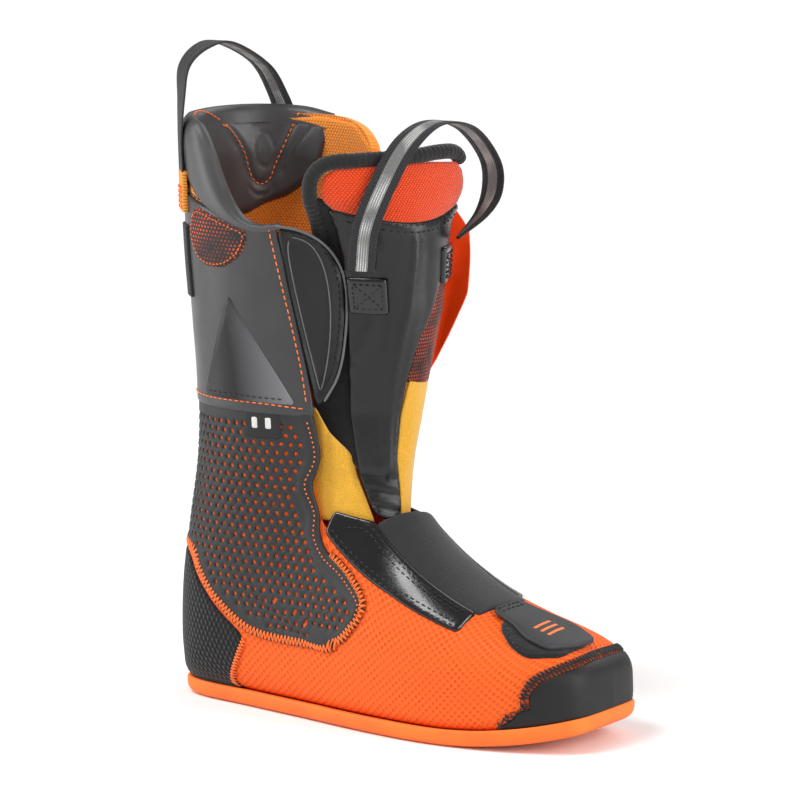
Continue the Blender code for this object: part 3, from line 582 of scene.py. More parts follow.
def thread(chart, legs, depth, radius=STITCH_THICK):
    """Raised stitches: each leg is a short thread that dips into the panel at both ends."""
    share = np.array([0, 0.12, 0.5, 0.88, 1])
    rise = np.array([-1.0, 0.35, 0.75, 0.35, -1.0]) * radius
    size = np.array([0.55, 0.95, 1, 0.95, 0.55]) * radius
    at = legs[:, None, 0] + share[None, :, None] * (legs[:, None, 1] - legs[:, None, 0])
    x, y = at[..., 0].ravel(), at[..., 1].ravel()
    sink = (depth(x, y) if callable(depth) else depth) - np.tile(rise, len(legs))
    centre = chart(x, y, sink).reshape(len(legs), LEG_RINGS, 3)
    up = chart(x, y, sink - 1).reshape(len(legs), LEG_RINGS, 3) - centre
    along = np.repeat((centre[:, -1] - centre[:, 0])[:, None], LEG_RINGS, axis=1)
    along /= np.maximum(np.linalg.norm(along, axis=2), 1e-9)[..., None]
    side = np.cross(along, up)
    side /= np.maximum(np.linalg.norm(side, axis=2), 1e-9)[..., None]
    up = np.cross(side, along)
    turn = np.arange(LEG_SIDES) * 2 * np.pi / LEG_SIDES
    ring = (np.cos(turn)[:, None] * side[..., None, :] + np.sin(turn)[:, None] * up[..., None, :])
    points = centre[..., None, :] + ring * size[:, None, None]
    faces = []
    for leg in range(len(legs)):
        start = leg * LEG_RINGS * LEG_SIDES
        for first in range(start, start + (LEG_RINGS - 1) * LEG_SIDES, LEG_SIDES):
            for c in range(LEG_SIDES):
                n = (c + 1) % LEG_SIDES
                faces.append((first + c, first + n, first + LEG_SIDES + n, first + LEG_SIDES + c))
        last = start + (LEG_RINGS - 1) * LEG_SIDES
        faces.append(tuple(start + c for c in range(LEG_SIDES))[::-1])
        faces.append(tuple(last + c for c in range(LEG_SIDES)))
    uv = np.stack([np.tile(np.arange(LEG_SIDES), at[..., 1].size), np.repeat(at[..., 1].ravel(), LEG_SIDES)],
                  -1)
    return points.reshape(-1, 3), faces, uv.astype(float)


# ---------------------------------------------------------------- materials
class Shade:
    """Builds one procedural material; patterns use the uv map, which is in millimetres."""

    def __init__(self, name):
        self.mat = bpy.data.materials.new(name)
        self.mat.use_nodes = True
        self.tree = self.mat.node_tree
        self.shader = self.tree.nodes["Principled BSDF"]
        coords = self.node("ShaderNodeTexCoord")
        self.uv = coords.outputs["UV"]
        self.place = coords.outputs["Object"]

    def node(self, kind):
        return self.tree.nodes.new(kind)

    def put(self, value, socket):
        if isinstance(value, bpy.types.NodeSocket):
            self.tree.links.new(value, socket)
        elif hasattr(value, "__len__") and len(value) == 3 and socket.type == "RGBA":
            socket.default_value = (*value, 1)
        else:
            socket.default_value = value

    def math(self, operation, *values):
        node = self.node("ShaderNodeMath")
        node.operation = operation
        for value, socket in zip(values, node.inputs):
            self.put(value, socket)
        return node.outputs[0]

    def vector(self, operation, *values):
        node = self.node("ShaderNodeVectorMath")
        node.operation = operation
        for value, socket in zip(values, node.inputs):
            self.put(value, socket)
        return node.outputs["Value" if operation in ("LENGTH", "DOT_PRODUCT") else "Vector"]

    def axis(self, index):
        node = self.node("ShaderNodeSeparateXYZ")
        self.put(self.uv, node.inputs[0])
        return node.outputs[index]

    def range(self, value, low, high, to_low=0.0, to_high=1.0):
        node = self.node("ShaderNodeMapRange")
        for number, socket in zip((value, low, high, to_low, to_high), node.inputs):
            self.put(number, socket)
        return node.outputs[0]

    def mix(self, share, one, other):
        node = self.node("ShaderNodeMix")
        node.data_type = "RGBA"
        self.put(share, node.inputs["Factor"])
        self.put(one, node.inputs["A"] if node.inputs["A"].type == "RGBA" else node.inputs[6])
        self.put(other, node.inputs["B"] if node.inputs["B"].type == "RGBA" else node.inputs[7])
        return node.outputs[2]

    def noise(self, size, detail=3.0):
        """Noise whose grains are about size mm wide."""
        node = self.node("ShaderNodeTexNoise")
        self.put(self.vector("MULTIPLY", self.place, (1000, 1000, 1000)), node.inputs["Vector"])
        node.inputs["Scale"].default_value = 1 / size
        node.inputs["Detail"].default_value = detail
        return node.outputs["Fac"]

    def dots(self, pitch, tall=1.732):
        """Distance from the nearest point of a staggered lattice, 0 at a point and about 0.6 between them."""
        found = []
        for shift in (0.0, 0.5):
            at = self.vector("MULTIPLY_ADD", self.uv, (1 / pitch, 1 / (tall * pitch), 0), (shift, shift, 0))
            at = self.vector("SUBTRACT", self.vector("FRACTION", at), (0.5, 0.5, 0))
            at = self.vector("MULTIPLY", at, (1, tall, 0))
            found.append(self.vector("LENGTH", at))
        return self.math("MINIMUM", *found)

    def stripes(self, value, pitch):
        """0 to 1 and back again over each pitch."""
        return self.math("PINGPONG", self.math("DIVIDE", value, pitch / 2), 1.0)

    def bump(self, height, mm, strength=1.0):
        node = self.node("ShaderNodeBump")
        node.inputs["Strength"].default_value = strength
        node.inputs["Distance"].default_value = mm * MM
        self.put(height, node.inputs["Height"])
        previous = self.shader.inputs["Normal"].links
        if previous:
            self.put(previous[0].from_socket, node.inputs["Normal"])
        self.put(node.outputs[0], self.shader.inputs["Normal"])

    def finish(self, colour, roughness, sheen=0.0, coat=0.0, specular=0.3):
        self.put(colour, self.shader.inputs["Base Color"])
        self.put(roughness, self.shader.inputs["Roughness"])
        self.shader.inputs["Sheen Weight"].default_value = sheen
        self.shader.inputs["Sheen Roughness"].default_value = 0.4
        self.shader.inputs["Coat Weight"].default_value = coat
        self.shader.inputs["Coat Roughness"].default_value = 0.12
        self.shader.inputs["Specular IOR Level"].default_value = specular
        return self.mat


def linear(*rgb):
    """Linear colour from an 8-bit screen colour."""
    return tuple((c / 255 / 12.92) if c / 255 < 0.04045 else ((c / 255 + 0.055) / 1.055)**2.4 for c in rgb)


def scaled(colour, factor):
    return tuple(min(1.0, c * factor) for c in colour)


def leather(name, colour, roughness=0.55, grain=0.5, coat=0.0, specular=0.35):
    """Coated synthetic leather: fine pebbled grain, soft wear and slight unevenness."""
    s = Shade(name)
    wear = s.noise(26, 2.0)
    fine = s.noise(grain, 4.0)
    tone = s.mix(s.range(wear, 0.35, 0.7), scaled(colour, 0.88), scaled(colour, 1.14))
    s.bump(fine, 0.12 if grain < 1 else 0.25)
    s.bump(wear, 0.9, 0.35)
    return s.finish(tone, s.range(wear, 0.3, 0.7, roughness - 0.06, roughness + 0.07), coat=coat,
                    specular=specular)


def dimpled(name, colour, deep, pitch, size, roughness=0.8, height=0.5, sheen=0.0, raised=False, tall=1.732):
    """Foam or knit with a staggered field of dimples (or bumps)."""
    s = Shade(name)
    spot = s.range(s.dots(pitch, tall), size * 0.5, size, 0.0, 1.0)
    # spots take deep: the orange dots on the dark knits are their own pattern; where deep is a darker copy of
    # colour, it is painted shade in the dimples
    tone = s.mix(spot, deep, colour)
    tone = s.mix(s.range(s.noise(14, 2.0), 0.3, 0.75), scaled(colour, 0.9), tone)
    s.bump(s.math("SUBTRACT", 1.0, spot) if raised else spot, height)
    s.bump(s.noise(0.5, 3.0), 0.1)
    return s.finish(tone, roughness, sheen=sheen)


def knit(name, colour, deep, pitch=2.4, sheen=0.2):
    """Chunky spacer knit: rows of rounded cells, with the pits between them painted darker as shade."""
    s = Shade(name)
    cell = s.dots(pitch, 1.4)
    rise = s.range(cell, 0.15, 0.5, 1.0, 0.0)
    yarn = s.stripes(s.math("ADD", s.axis(0), s.math("MULTIPLY", s.stripes(s.axis(1), pitch), 0.6)), 0.45)
    # the pits take the darker deep colour: painted shade between the cells
    tone = s.mix(rise, deep, colour)
    tone = s.mix(s.math("MULTIPLY", yarn, 0.25), tone, scaled(colour, 1.25))
    s.bump(rise, 0.55)
    s.bump(yarn, 0.1, 0.6)
    return s.finish(tone, 0.85, sheen=sheen)


def woven(name, colour, light, stripe=0.0, start=-1.0):
    """Herringbone webbing; clear threads run down a middle stripe (width in mm) from start mm along it, with
    a painted highlight that comes and goes along the stripe.
    """
    s = Shade(name)
    across, along = s.axis(0), s.axis(1)
    lean = s.math("MULTIPLY", s.math("PINGPONG", across, 2.2), 0.9)
    ridge = s.stripes(s.math("ADD", along, lean), 1.7)
    tone = s.mix(s.range(ridge, 0.2, 0.8), scaled(colour, 0.45), colour)
    if stripe:
        middle = s.math("LESS_THAN", s.math("ABSOLUTE", across), stripe / 2)
        middle = s.math("MULTIPLY", middle, s.math("GREATER_THAN", along, start))
        lines = s.range(s.stripes(across, 1.35), 0.45, 0.8)
        clear = s.mix(lines, scaled(light, 0.32), light)
        # painted highlight: noise patches dim the pale stripe to a quarter of its brightness along its length
        clear = s.mix(s.range(s.noise(16, 1.0), 0.4, 0.65), scaled(light, 0.25), clear)
        tone = s.mix(middle, tone, clear)
    s.bump(ridge, 0.35)
    s.bump(s.noise(0.35, 3.0), 0.12)
    return s.finish(tone, 0.8, sheen=0.15)


def fleece(name, colour):
    """Brushed stretch fabric with a short pile."""
    s = Shade(name)
    pile = s.noise(0.7, 5.0)
    fold = s.noise(9, 2.0)
    tone = s.mix(s.range(pile, 0.3, 0.7), scaled(colour, 0.72), scaled(colour, 1.12))
    tone = s.mix(s.range(fold, 0.35, 0.7, 0.0, 0.35), tone, scaled(colour, 0.8))
    s.bump(pile, 0.5)
    s.bump(fold, 1.5, 0.4)
    return s.finish(tone, 0.95, sheen=0.5)


def threads(name, colour):
    """Twisted sewing thread."""
    s = Shade(name)
    twist = s.stripes(s.math("ADD", s.axis(1), s.math("MULTIPLY", s.axis(0), 0.1)), 0.6)
    s.bump(twist, 0.06)
    return s.finish(s.mix(twist, scaled(colour, 0.8), scaled(colour, 1.1)), 0.55, sheen=0.2)


def glossy_fade(name, dark, light, start, end):
    """Smooth film whose colour runs from dark to light across the uv map."""
    s = Shade(name)
    tone = s.mix(s.range(s.axis(0), start, end), dark, light)
    fine = s.stripes(s.math("ADD", s.axis(0), s.axis(1)), 1.1)
    s.bump(fine, 0.05, 0.5)
    return s.finish(tone, 0.3, coat=0.1)


# ---------------------------------------------------------------- colours
ORANGE = linear(249, 99, 20)
# colour of the painted shade in the foam's dimples
FOAM_DIMPLE_SHADE = linear(222, 66, 12)
KNIT_ORANGE = linear(255, 164, 62)
# colour of the painted shade in the pits of the lining knit
KNIT_PIT_SHADE = linear(252, 132, 40)
NET_ORANGE = linear(252, 78, 14)
FLAP_RED = linear(244, 64, 6)
DARK = linear(38, 38, 39)
SHELL = linear(40, 40, 41)
BLACK = linear(18, 18, 19)
PITCH_BLACK = linear(10, 10, 11)
PALE = linear(214, 214, 212)
MUSTARD = linear(222, 166, 52)

paint = {
    # the dimples of the foam, black knit, stretch fabric and binding are painted darker as shade
    "foam": dimpled("foam_orange", ORANGE, FOAM_DIMPLE_SHADE, 4.5, 0.27, 0.62, 0.7, tall=1.0),
    "sole": leather("sole_orange", linear(255, 116, 40), 0.6, 0.6),
    "rubber": leather("toe_rubber", BLACK, 0.52, 0.35),
    "gloss": leather("patch_gloss", PITCH_BLACK, 0.17, 0.9, coat=0.5),
    "knit_black": dimpled("knit_black", BLACK, linear(10, 10, 11), 3.6, 0.4, 0.75, 0.6, 0.15),
    "stretch": dimpled("stretch_black", linear(38, 38, 40), linear(20, 20, 21), 1.5, 0.4, 0.7, 0.15, 0.2),
    "shell": leather("shell_grey", SHELL, 0.5, 0.45),
    "net_dark": dimpled("netting_orange", linear(34, 24, 21), NET_ORANGE, 2.4, 0.36, 0.6, 0.3),
    "window_knit": dimpled("window_knit", linear(40, 38, 38), linear(232, 84, 32), 2.6, 0.33, 0.6, 0.3),
    "cuff": leather("cuff_charcoal", linear(52, 52, 53), 0.34, 0.5, specular=0.45),
    "collar": leather("collar_charcoal", linear(66, 65, 66), 0.36, 0.5, specular=0.45),
    "window": glossy_fade("window_gloss", PITCH_BLACK, linear(112, 113, 116), 72, 104),
    "label": leather("label_dark", linear(30, 30, 31), 0.6, 0.6),
    "lining": knit("lining_knit", KNIT_ORANGE, KNIT_PIT_SHADE),
    "flap": leather("flap_charcoal", linear(20, 20, 21), 0.3, 0.5),
    # light grey of the flap's piping: a painted highlight on its raised edges
    "flap_edge_highlight": leather("flap_edge_highlight", linear(96, 96, 98), 0.35, 0.5),
    "flap_orange": leather("flap_orange", FLAP_RED, 0.42, 0.7),
    "tongue": leather("tongue_shell_grey", linear(24, 24, 25), 0.24, 0.45, specular=0.38),
    # the mesh's dark pits are painted shade between its cells
    "net": knit("mesh_orange", NET_ORANGE, linear(168, 36, 8), 1.7, 0.3),
    "web": woven("webbing_grey", linear(44, 44, 46), PALE),
    "web_striped": woven("webbing_striped", linear(50, 50, 52), PALE, 6.4),
    "web_rear": woven("webbing_rear", linear(50, 50, 52), PALE, 5.4, 92.0),
    "tab_orange": woven("tab_orange", KNIT_ORANGE, KNIT_ORANGE),
    "fleece": fleece("fleece_mustard", MUSTARD),
    "pile": fleece("pile_black", linear(30, 30, 31)),
    "bed": fleece("footbed_grey", DARK),
    "tab": leather("tab_charcoal", linear(52, 52, 54), 0.55, 0.4),
    "binding": dimpled("binding_black", linear(26, 26, 27), linear(14, 14, 14), 1.2, 0.4, 0.7, 0.12, 0.25),
    "thread_orange": threads("thread_orange", linear(255, 120, 46)),
    "thread_black": threads("thread_black", linear(24, 24, 25)),
    "thread_pale": threads("thread_pale", PALE),
}

levels = LevelChart()
ridges = RidgeChart()


def groove(x, y, line, width, deep):
    """Relief of a groove along a chart line."""
    near = distance(np.stack([x, y], -1), curve(line, 3.0), closed=False)
    return -deep * np.exp(-(near / width)**2)


def seam(name, chart, line, body, colour="orange", depth=-0.05, length=STITCH_LONG, gap=STITCH_GAP,
         radius=STITCH_THICK, zigzag=None):
    """A row of stitches along a chart line, or a zigzag when a (width, pitch) is given."""
    line = curve(line)
    legs = legs_zigzag(line, *zigzag) if zigzag else legs_along(line, length, gap)
    return add(name, [thread(chart, legs, depth, radius)], paint["thread_" + colour], body)


# ---------------------------------------------------------------- foot
def level_ring(z, depth, height, count=110):
    """Flat ring round the form at a level, drawn at a height; depth is measured level."""
    share = np.linspace(0, 1, count + 1)
    share = (1 - np.cos(np.pi * share)) / 2 * 0.35 + share * 0.65
    level = np.full(count + 1, float(z))
    ring = np.concatenate([levels.share(1, share, level), levels.share(-1, share, level)[1:-1][::-1]])
    along = np.roll(ring, -1, axis=0) - np.roll(ring, 1, axis=0)
    normal = np.stack([-along[:, 1], along[:, 0]], -1)
    ring[:, :2] += depth * normal / np.linalg.norm(normal, axis=1)[:, None]
    ring[:, 2] = height + toe_spring(ring[:, 0])
    return ring


def ring_floor(ring, columns=16, relief=None, up=False):
    """Closes a ring with rows from the outer to the inner side."""
    half = len(ring) // 2
    pairs = [(k, (len(ring) - k) % len(ring)) for k in range(half + 1)]
    share = np.linspace(0, 1, columns + 1)[:, None]
    rows = np.array([ring[a] * (1 - share) + ring[b] * share for a, b in pairs])
    if relief is not None:
        rows[..., 2] += relief(rows[..., 0], rows[..., 1], np.minimum(share, 1 - share)[:, 0] * columns)
    return grid_mesh(rows, flip=up)


def tread(x, y, near):
    """Shallow grooves across the sole."""
    wave = np.abs((x / 11.0 + (y / 60.0)**2) % 1 - 0.5)
    return 0.9 * np.clip((0.11 - wave) / 0.05, 0, 1) * np.clip(near, 0, 1)


def outsole():
    steps = [(9, 0.0), (5, 0.05), (3.0, 0.4), (1.4, 1.2), (0.3, 2.2), (-0.4, 3.4), (-0.8, 4.8), (-1.0, 6.4),
             (-1.0, 8.0), (-0.8, 9.2), (-0.2, 9.9), (0.6, 10.0), (1.6, 9.8), (3.4, 9.4), (5.5, 9.0)]
    rings = np.array([level_ring(12, depth, height) for depth, height in steps])
    parts = [grid_mesh(rings, closed=True, flip=True), ring_floor(rings[0], relief=tread)]
    return add("sole", parts, paint["sole"], "boot", ["outsole"])


def footbed():
    steps = [(13.4, 19.6), (12.6, 20.2), (12.5, 22.0), (12.5, 23.4), (13.2, 24.2), (14.6, 24.4)]
    rings = np.array([level_ring(low, depth, low) for depth, low in steps])
    parts = [grid_mesh(rings, closed=True, flip=True), ring_floor(rings[-1], up=True),
             ring_floor(rings[0])]
    return add("footbed_cover", parts, paint["bed"], "boot", ["footbed"])


def throat_angle(t):
    """Half of the opening in front, as an angle of the section."""
    return np.clip((t - THROAT_START) / 1.3, 0, 1)**0.7


def foam_sock():
    """Foam foot: outer skin, inner skin and the rounded edge of the throat."""
    columns, foot_rows, throat_rows = 180, 110, 56
    share = np.linspace(0, 1, columns + 1)
    stations = [[(2 * np.pi * u, t) for u in share] for t in np.linspace(0, THROAT_START, foot_rows)]
    search = np.linspace(THROAT_START, 15, 300)
    ends = []
    for u in share:
        half = throat_angle(search)
        height = form(half + (2 * np.pi - 2 * half) * u, search)[:, 2]
        ends.append(np.interp(HEM_Z - 1, np.maximum.accumulate(height), search))
    for rise in np.linspace(0, 1, throat_rows)[1:]:
        t = THROAT_START + (np.array(ends) - THROAT_START) * rise
        half = throat_angle(t)
        stations.append(np.stack([half + (2 * np.pi - 2 * half) * share, t], -1))
    grid = np.array(stations)
    outer = form(grid[..., 0], grid[..., 1], FOAM_SKIN)
    inner = form(grid[..., 0], grid[..., 1], FOAM_BACK)
    rows = range(foot_rows - 1, len(grid))
    border = [(r, 0) for r in rows] + [(rows[-1], c) for c in range(1, columns + 1)]
    border += [(r, columns) for r in rows[-2::-1]]
    strips = []
    for turn in np.linspace(0, np.pi, 7):
        depth = FOAM_SKIN + (FOAM_BACK - FOAM_SKIN) * (1 - math.cos(turn)) / 2
        strips.append([form(*grid[r, c], depth) for r, c in border])
    edge = np.array(strips)
    skin, faces, uv = grid_mesh(outer, flip=True)
    girth = np.cumsum(np.hypot(np.diff(outer[..., 1], axis=1, prepend=outer[:, :1, 1]),
                               np.diff(outer[..., 2], axis=1, prepend=outer[:, :1, 2])), axis=1)
    uv = np.stack([skin[:, 0], (girth - girth[:, columns // 2:columns // 2 + 1]).ravel()], -1)
    parts = [(skin, faces, uv), grid_mesh(inner), grid_mesh(edge)]
    return add("foam_foot", parts, paint["foam"], "boot", ["lower_foam"])


# ---------------------------------------------------------------- forefoot
def forefoot():
    toe_cap = rounded([(71, 9), (66, 18), (57, 30), (50, 35), (34, 38.5), (10, 40.5), (-10, 40.5),
                       (-34, 38.5), (-50, 35),
                      (-57, 30), (-66, 18), (-71, 9)], 4)
    add("toe_bumper", [sheet(levels.front_point, toe_cap, 0, 1.6)], paint["rubber"], "boot",
        ["toe_cap"])
    band = [(73, 13), (67.4, 19.4), (58.4, 31.4), (50.8, 36.6), (34, 40.6), (10, 42.4), (-10, 42.4),
            (-34, 40.6),
            (-50.8, 36.6), (-58.4, 31.4), (-67.4, 19.4), (-73, 13)]
    seam("toe_zigzag", levels.front_point, band, "boot", "black", 0.35, radius=0.5, zigzag=(5.0, 2.8))

    outer = rounded([(29.4, 163), (27.6, 132), (25.6, 82), (43.5, 84), (48.4, 128), (59.5, 177), (48, 182)],
                    3)
    inner = rounded([(-22.6, 151), (-19.6, 110), (-16.2, 79), (-30, 84), (-40, 124), (-50, 168), (-42, 172)],
                    3)
    add("instep_gloss_lateral", [sheet(ridges.point, outer, -0.4, 1.9, rim=1.6)], paint["gloss"], "boot",
        ["instep_patch_lateral"])
    add("instep_gloss_medial", [sheet(ridges.point, inner, -0.4, 1.9, rim=1.6)], paint["gloss"], "boot",
        ["instep_patch_medial"])
    seam("instep_seam_back", ridges.point, [(47, 178), (33.4, 162), (32, 132), (30, 87)], "boot", "black",
         -0.5)
    seam("instep_seam_back_2", ridges.point, [(45, 170), (36, 160), (34.6, 132), (32.6, 88)], "boot", "black",
         -0.5)
    seam("instep_seam_front", ridges.point, [(57, 175), (46, 128), (41, 87)], "boot", "black", -0.5)
    seam("instep_seam_front_2", ridges.point, [(54.4, 175), (43.4, 128), (38.4, 88)], "boot", "black", -0.5)

    stretch = rounded([(29.6, 161), (28.2, 132), (26.4, 80), (8, 76.4), (-16.8, 75.4), (-20.4, 110),
                       (-23.4, 150),
                       (0, 153)], 3)
    add("stretch_cover", [sheet(ridges.point, stretch, 0.2, 1.1)], paint["stretch"], "boot",
        ["stretch_panel"])
    patch = rounded([(27, 66), (37.5, 53), (40, 41), (27, 25.5), (0, 24), (-16, 40), (-16, 66), (0, 72)], 6)
    add("loop_patch_pile", [sheet(ridges.point, patch, 0, 1.3)], paint["pile"], "boot",
        ["loop_patch"])
    seam("loop_patch_seam", ridges.point, [(24, 65), (34, 53), (37, 41), (26, 28)], "boot", "black", -0.1)


def toe_tab():
    tab = rounded([(20, 76), (22, 60), (29, 48), (29, 33), (14, 24.5), (-6, 23), (-10, 40), (-8, 60),
                   (-6, 73)], 5)
    add("toe_tab_skin", [sheet(ridges.point, tab, -2.6, 1.7, back=True)], paint["tab"], "toe_tab",
        ["toe_tab"])
    for k, l in enumerate((71.5, 68.5)):
        seam("toe_tab_root_" + str(k), ridges.point, [(17, l + 1.5), (5, l), (-5, l)], "toe_tab", "black",
             -2.75)
    bars = []
    for k in range(3):
        l = 38.5 + 4.4 * k
        bars.append(sheet(ridges.point, rounded([(19, l), (2, l), (2, l + 1.9), (19, l + 1.9)], 0.7), -2.8,
                          0.5,
                          step=1.6, rim=0.5))
    add("toe_tab_marks", bars, paint["thread_orange"], "toe_tab")


# ---------------------------------------------------------------- ankle and heel
HEEL = [(-82, 42), (-60, 57), (-42, 74), (-34, 84), (0, 90), (34, 84), (42, 74), (60, 57), (82, 42),
        (74, 26), (62, 7.4), (-62, 7.4), (-74, 26)]
ANKLE = [(0.1, HEM_Z), (0.1, 92), (38, 89), (46, 78), (62, 62), (88, 47), (124, 45), (150, 48.5),
         (162, 61), (166, 74), (149, 89), (134, 98), (127, 107), (125, 119), (117, 134), (122, 150),
         (117, HEM_Z)]
ANKLE_FRONT = [(163, 66), (162.5, 73), (147, 86), (132, 95), (123.6, 106), (121.4, 119), (113.4, 134),
               (118, 150), (113.4, 172)]
ANKLE_FOOT = [(4, 93), (37, 89.5), (46, 78), (62, 62), (88, 47.5), (124, 45.5), (149, 48.5), (162, 61),
              (165.5, 73),
              (149, 88.5), (136, 96)]


def ankle():
    add("heel_knit", [sheet(levels.point, rounded(HEEL, 6), 0, 1.3)], paint["knit_black"], "boot",
        ["heel_counter"])
    for side, turn in (("lateral", list), ("medial", mirrored)):
        outline = rounded(turn(ANKLE), 6)
        front = turn(ANKLE_FRONT)
        holes = []
        for row, z in enumerate(np.arange(52, 171, 5.0)):
            for s in np.arange(8, 165, 5.8):
                holes.append(((s + 2.9 * (row % 2)) * (1 if side == "lateral" else -1), z))
        holes = np.array(holes)
        edge = even(outline, 3, closed=True)
        near = distance(holes, edge)
        holes = holes[inside(holes, edge) & (near > 5.5)]
        holes = holes[distance(holes, curve(front), closed=False) > 6.5]

        def relief(x, y, near, line=front, centres=holes):
            spots = np.stack([x, y], -1)
            away = distance(spots, curve(line, 3.0), closed=False)
            hole = np.array([np.hypot(*(centres - spot).T).min() for spot in spots])
            return 0.9 * np.clip((5.2 - away) / 1.6, 0, 1) - 0.55 * np.clip((2.4 - hole) / 1.1, 0, 1)

        skin = sheet(levels.point, outline, 0, 1.3, relief=relief, holes=holes, hole_radius=1.35, step=1.9)
        add("ankle_skin_" + side, [skin], paint["shell"], "boot", ["ankle_shell_" + side])
        seam("ankle_front_seam_" + side, levels.point, front, "boot", "orange", -0.9, 1.2, 1.6, 0.42)
        foot = turn(ANKLE_FOOT)
        seam("ankle_zigzag_orange_" + side, levels.point, foot, "boot", "orange", 0.1, radius=0.46,
             zigzag=(5.2, 2.6))
        seam("ankle_zigzag_black_" + side, levels.point, foot, "boot", "black", 0.3, radius=0.36,
             zigzag=(6.4, 3.4))
    for side, turn in (("lateral", list), ("medial", mirrored)):
        seam("heel_zigzag_" + side, levels.point, turn([(82, 41), (74.5, 27), (64, 12)]), "boot", "orange",
             0.3,
             radius=0.36, zigzag=(3.6, 2.2))


# ---------------------------------------------------------------- cuff
WALL = [(116, HEM_Z - 1), (116, 281), (88, 279), (69, 307), (52, 333), (0, 334), (-62, 334), (-86, 335),
        (-112, 333), (-131, 321), (-130, 304), (-118, 286), (-118, HEM_Z - 1)]
CUFF = [(0.1, HEM_Z - 2.5), (118, HEM_Z - 4.5), (116.4, 212), (114, 264), (110.6, 284), (92, 281.6),
        (72, 288),
        (40, 296), (0.1, 300)]
KNIT_WINDOW = [(54, 291), (47, 276), (52, 261), (64, 255.5), (78, 257), (90, 266), (95, 279), (84, 282),
               (72, 286)]


def cuff():
    wall = smooth(WALL, 2)
    add("cuff_wall", [sheet(levels.point, wall, 1.2, 7.0, step=4, rim=3.2, out=1, back=True)],
        paint["lining"],
        "boot", ["cuff_foam"])
    lining = rounded([(113, HEM_Z), (113, 279), (86, 277), (67, 305), (50, 331), (0, 332), (-62, 332),
                      (-84, 333),
                      (-111, 331), (-129, 319), (-128, 303), (-116, 286), (-116, HEM_Z)], 4)
    add("lining_cover", [sheet(levels.point, lining, 9.5, 1.4, step=3.4, rim=1.6, out=-1)], paint["lining"],
        "boot", ["cuff_lining"])
    window = [(76, 242), (45, 181.5), (108, 180)]
    for side, turn in (("lateral", list), ("medial", mirrored)):
        add("cuff_skin_" + side, [sheet(levels.point, rounded(turn(CUFF)), -0.9, 1.6, rim=1.2)],
            paint["cuff"],
            "boot", ["cuff_" + side])
        add("window_film_" + side, [sheet(levels.point, rounded(turn(window), 1.5), -1.5, 1.0, rim=0.9)],
            paint["window"], "boot", ["window_" + side])
        add("window_knit_" + side, [sheet(levels.point, smooth(turn(KNIT_WINDOW), 2), -2.0, 1.6, rim=3.0)],
            paint["window_knit"], "boot", ["knit_window_" + side])
        ring = even(inset(even(smooth(turn(KNIT_WINDOW), 2), 1, closed=True), 2.2), 4, closed=True)
        seam("window_knit_seam_" + side, levels.point, np.concatenate([ring, ring[:1]]), "boot", "orange",
             -2.0,
             1.2, 1.5, 0.34)
        seam("hem_seam_" + side, levels.point, turn([(4, 181), (44, 180.6), (86, 180.2), (112, 178)]), "boot",
             "orange", -1.0)
        seam("window_seam_" + side, levels.point, turn([(51, 184.5), (76, 184), (101, 183)]), "boot", "black",
             -1.5)
        seam("front_seam_" + side, levels.point, turn([(107, 282), (109.4, 264), (111.4, 242), (113, 212),
                                                       (114, 182)]), "boot", "orange", -1.0)
    label = rounded([(76, 175), (76, 160), (98, 160), (98, 174.5)], 1.2)
    add("size_patch", [sheet(levels.point, label, -0.5, 0.7, step=1.8, rim=0.6)], paint["label"], "boot",
        ["size_label"])
    bars = [sheet(levels.point, rounded([(s, 172), (s, 165.5), (s + 3.6, 165.5), (s + 3.6, 172)], 0.4), -0.7,
                  0.4, step=1.2,
                  rim=0.4) for s in (80.5, 89)]
    add("size_marks", bars, paint["thread_pale"], "boot")


RIM = [(113, 284.5), (104, 283), (95, 284), (87, 289), (80, 298), (74, 308), (66, 322), (57, 333), (44, 338),
       (0, 339), (-62, 338.5), (-88, 335)]
RIM_DROP = [4, 4.5, 5.5, 10, 17, 24, 31, 36, 38, 39, 38, 30]
RIM_INSIDE = [4, 5, 7, 9, 10, 10, 10, 10, 10, 10, 10, 9]
PAD_DEPTH = 14.2          # depth of the collar's inner face


def rim_depth(drop):
    """Depth of the collar's inner face at a distance under the rim: it leans in, then runs level."""
    lean = np.sin(np.pi / 2 * np.clip(drop / 34, 0, 1))
    return np.minimum(PAD_DEPTH, 3.4 + 3.2 * np.clip(drop / 2.5, 0, 1)**0.5 + 8 * lean)


def collar_face(x, y):
    """Depth of the collar's inner face at chart points."""
    return rim_depth(distance(np.stack([x, y], -1), curve(RIM, 2.0), closed=False)) + 0.1


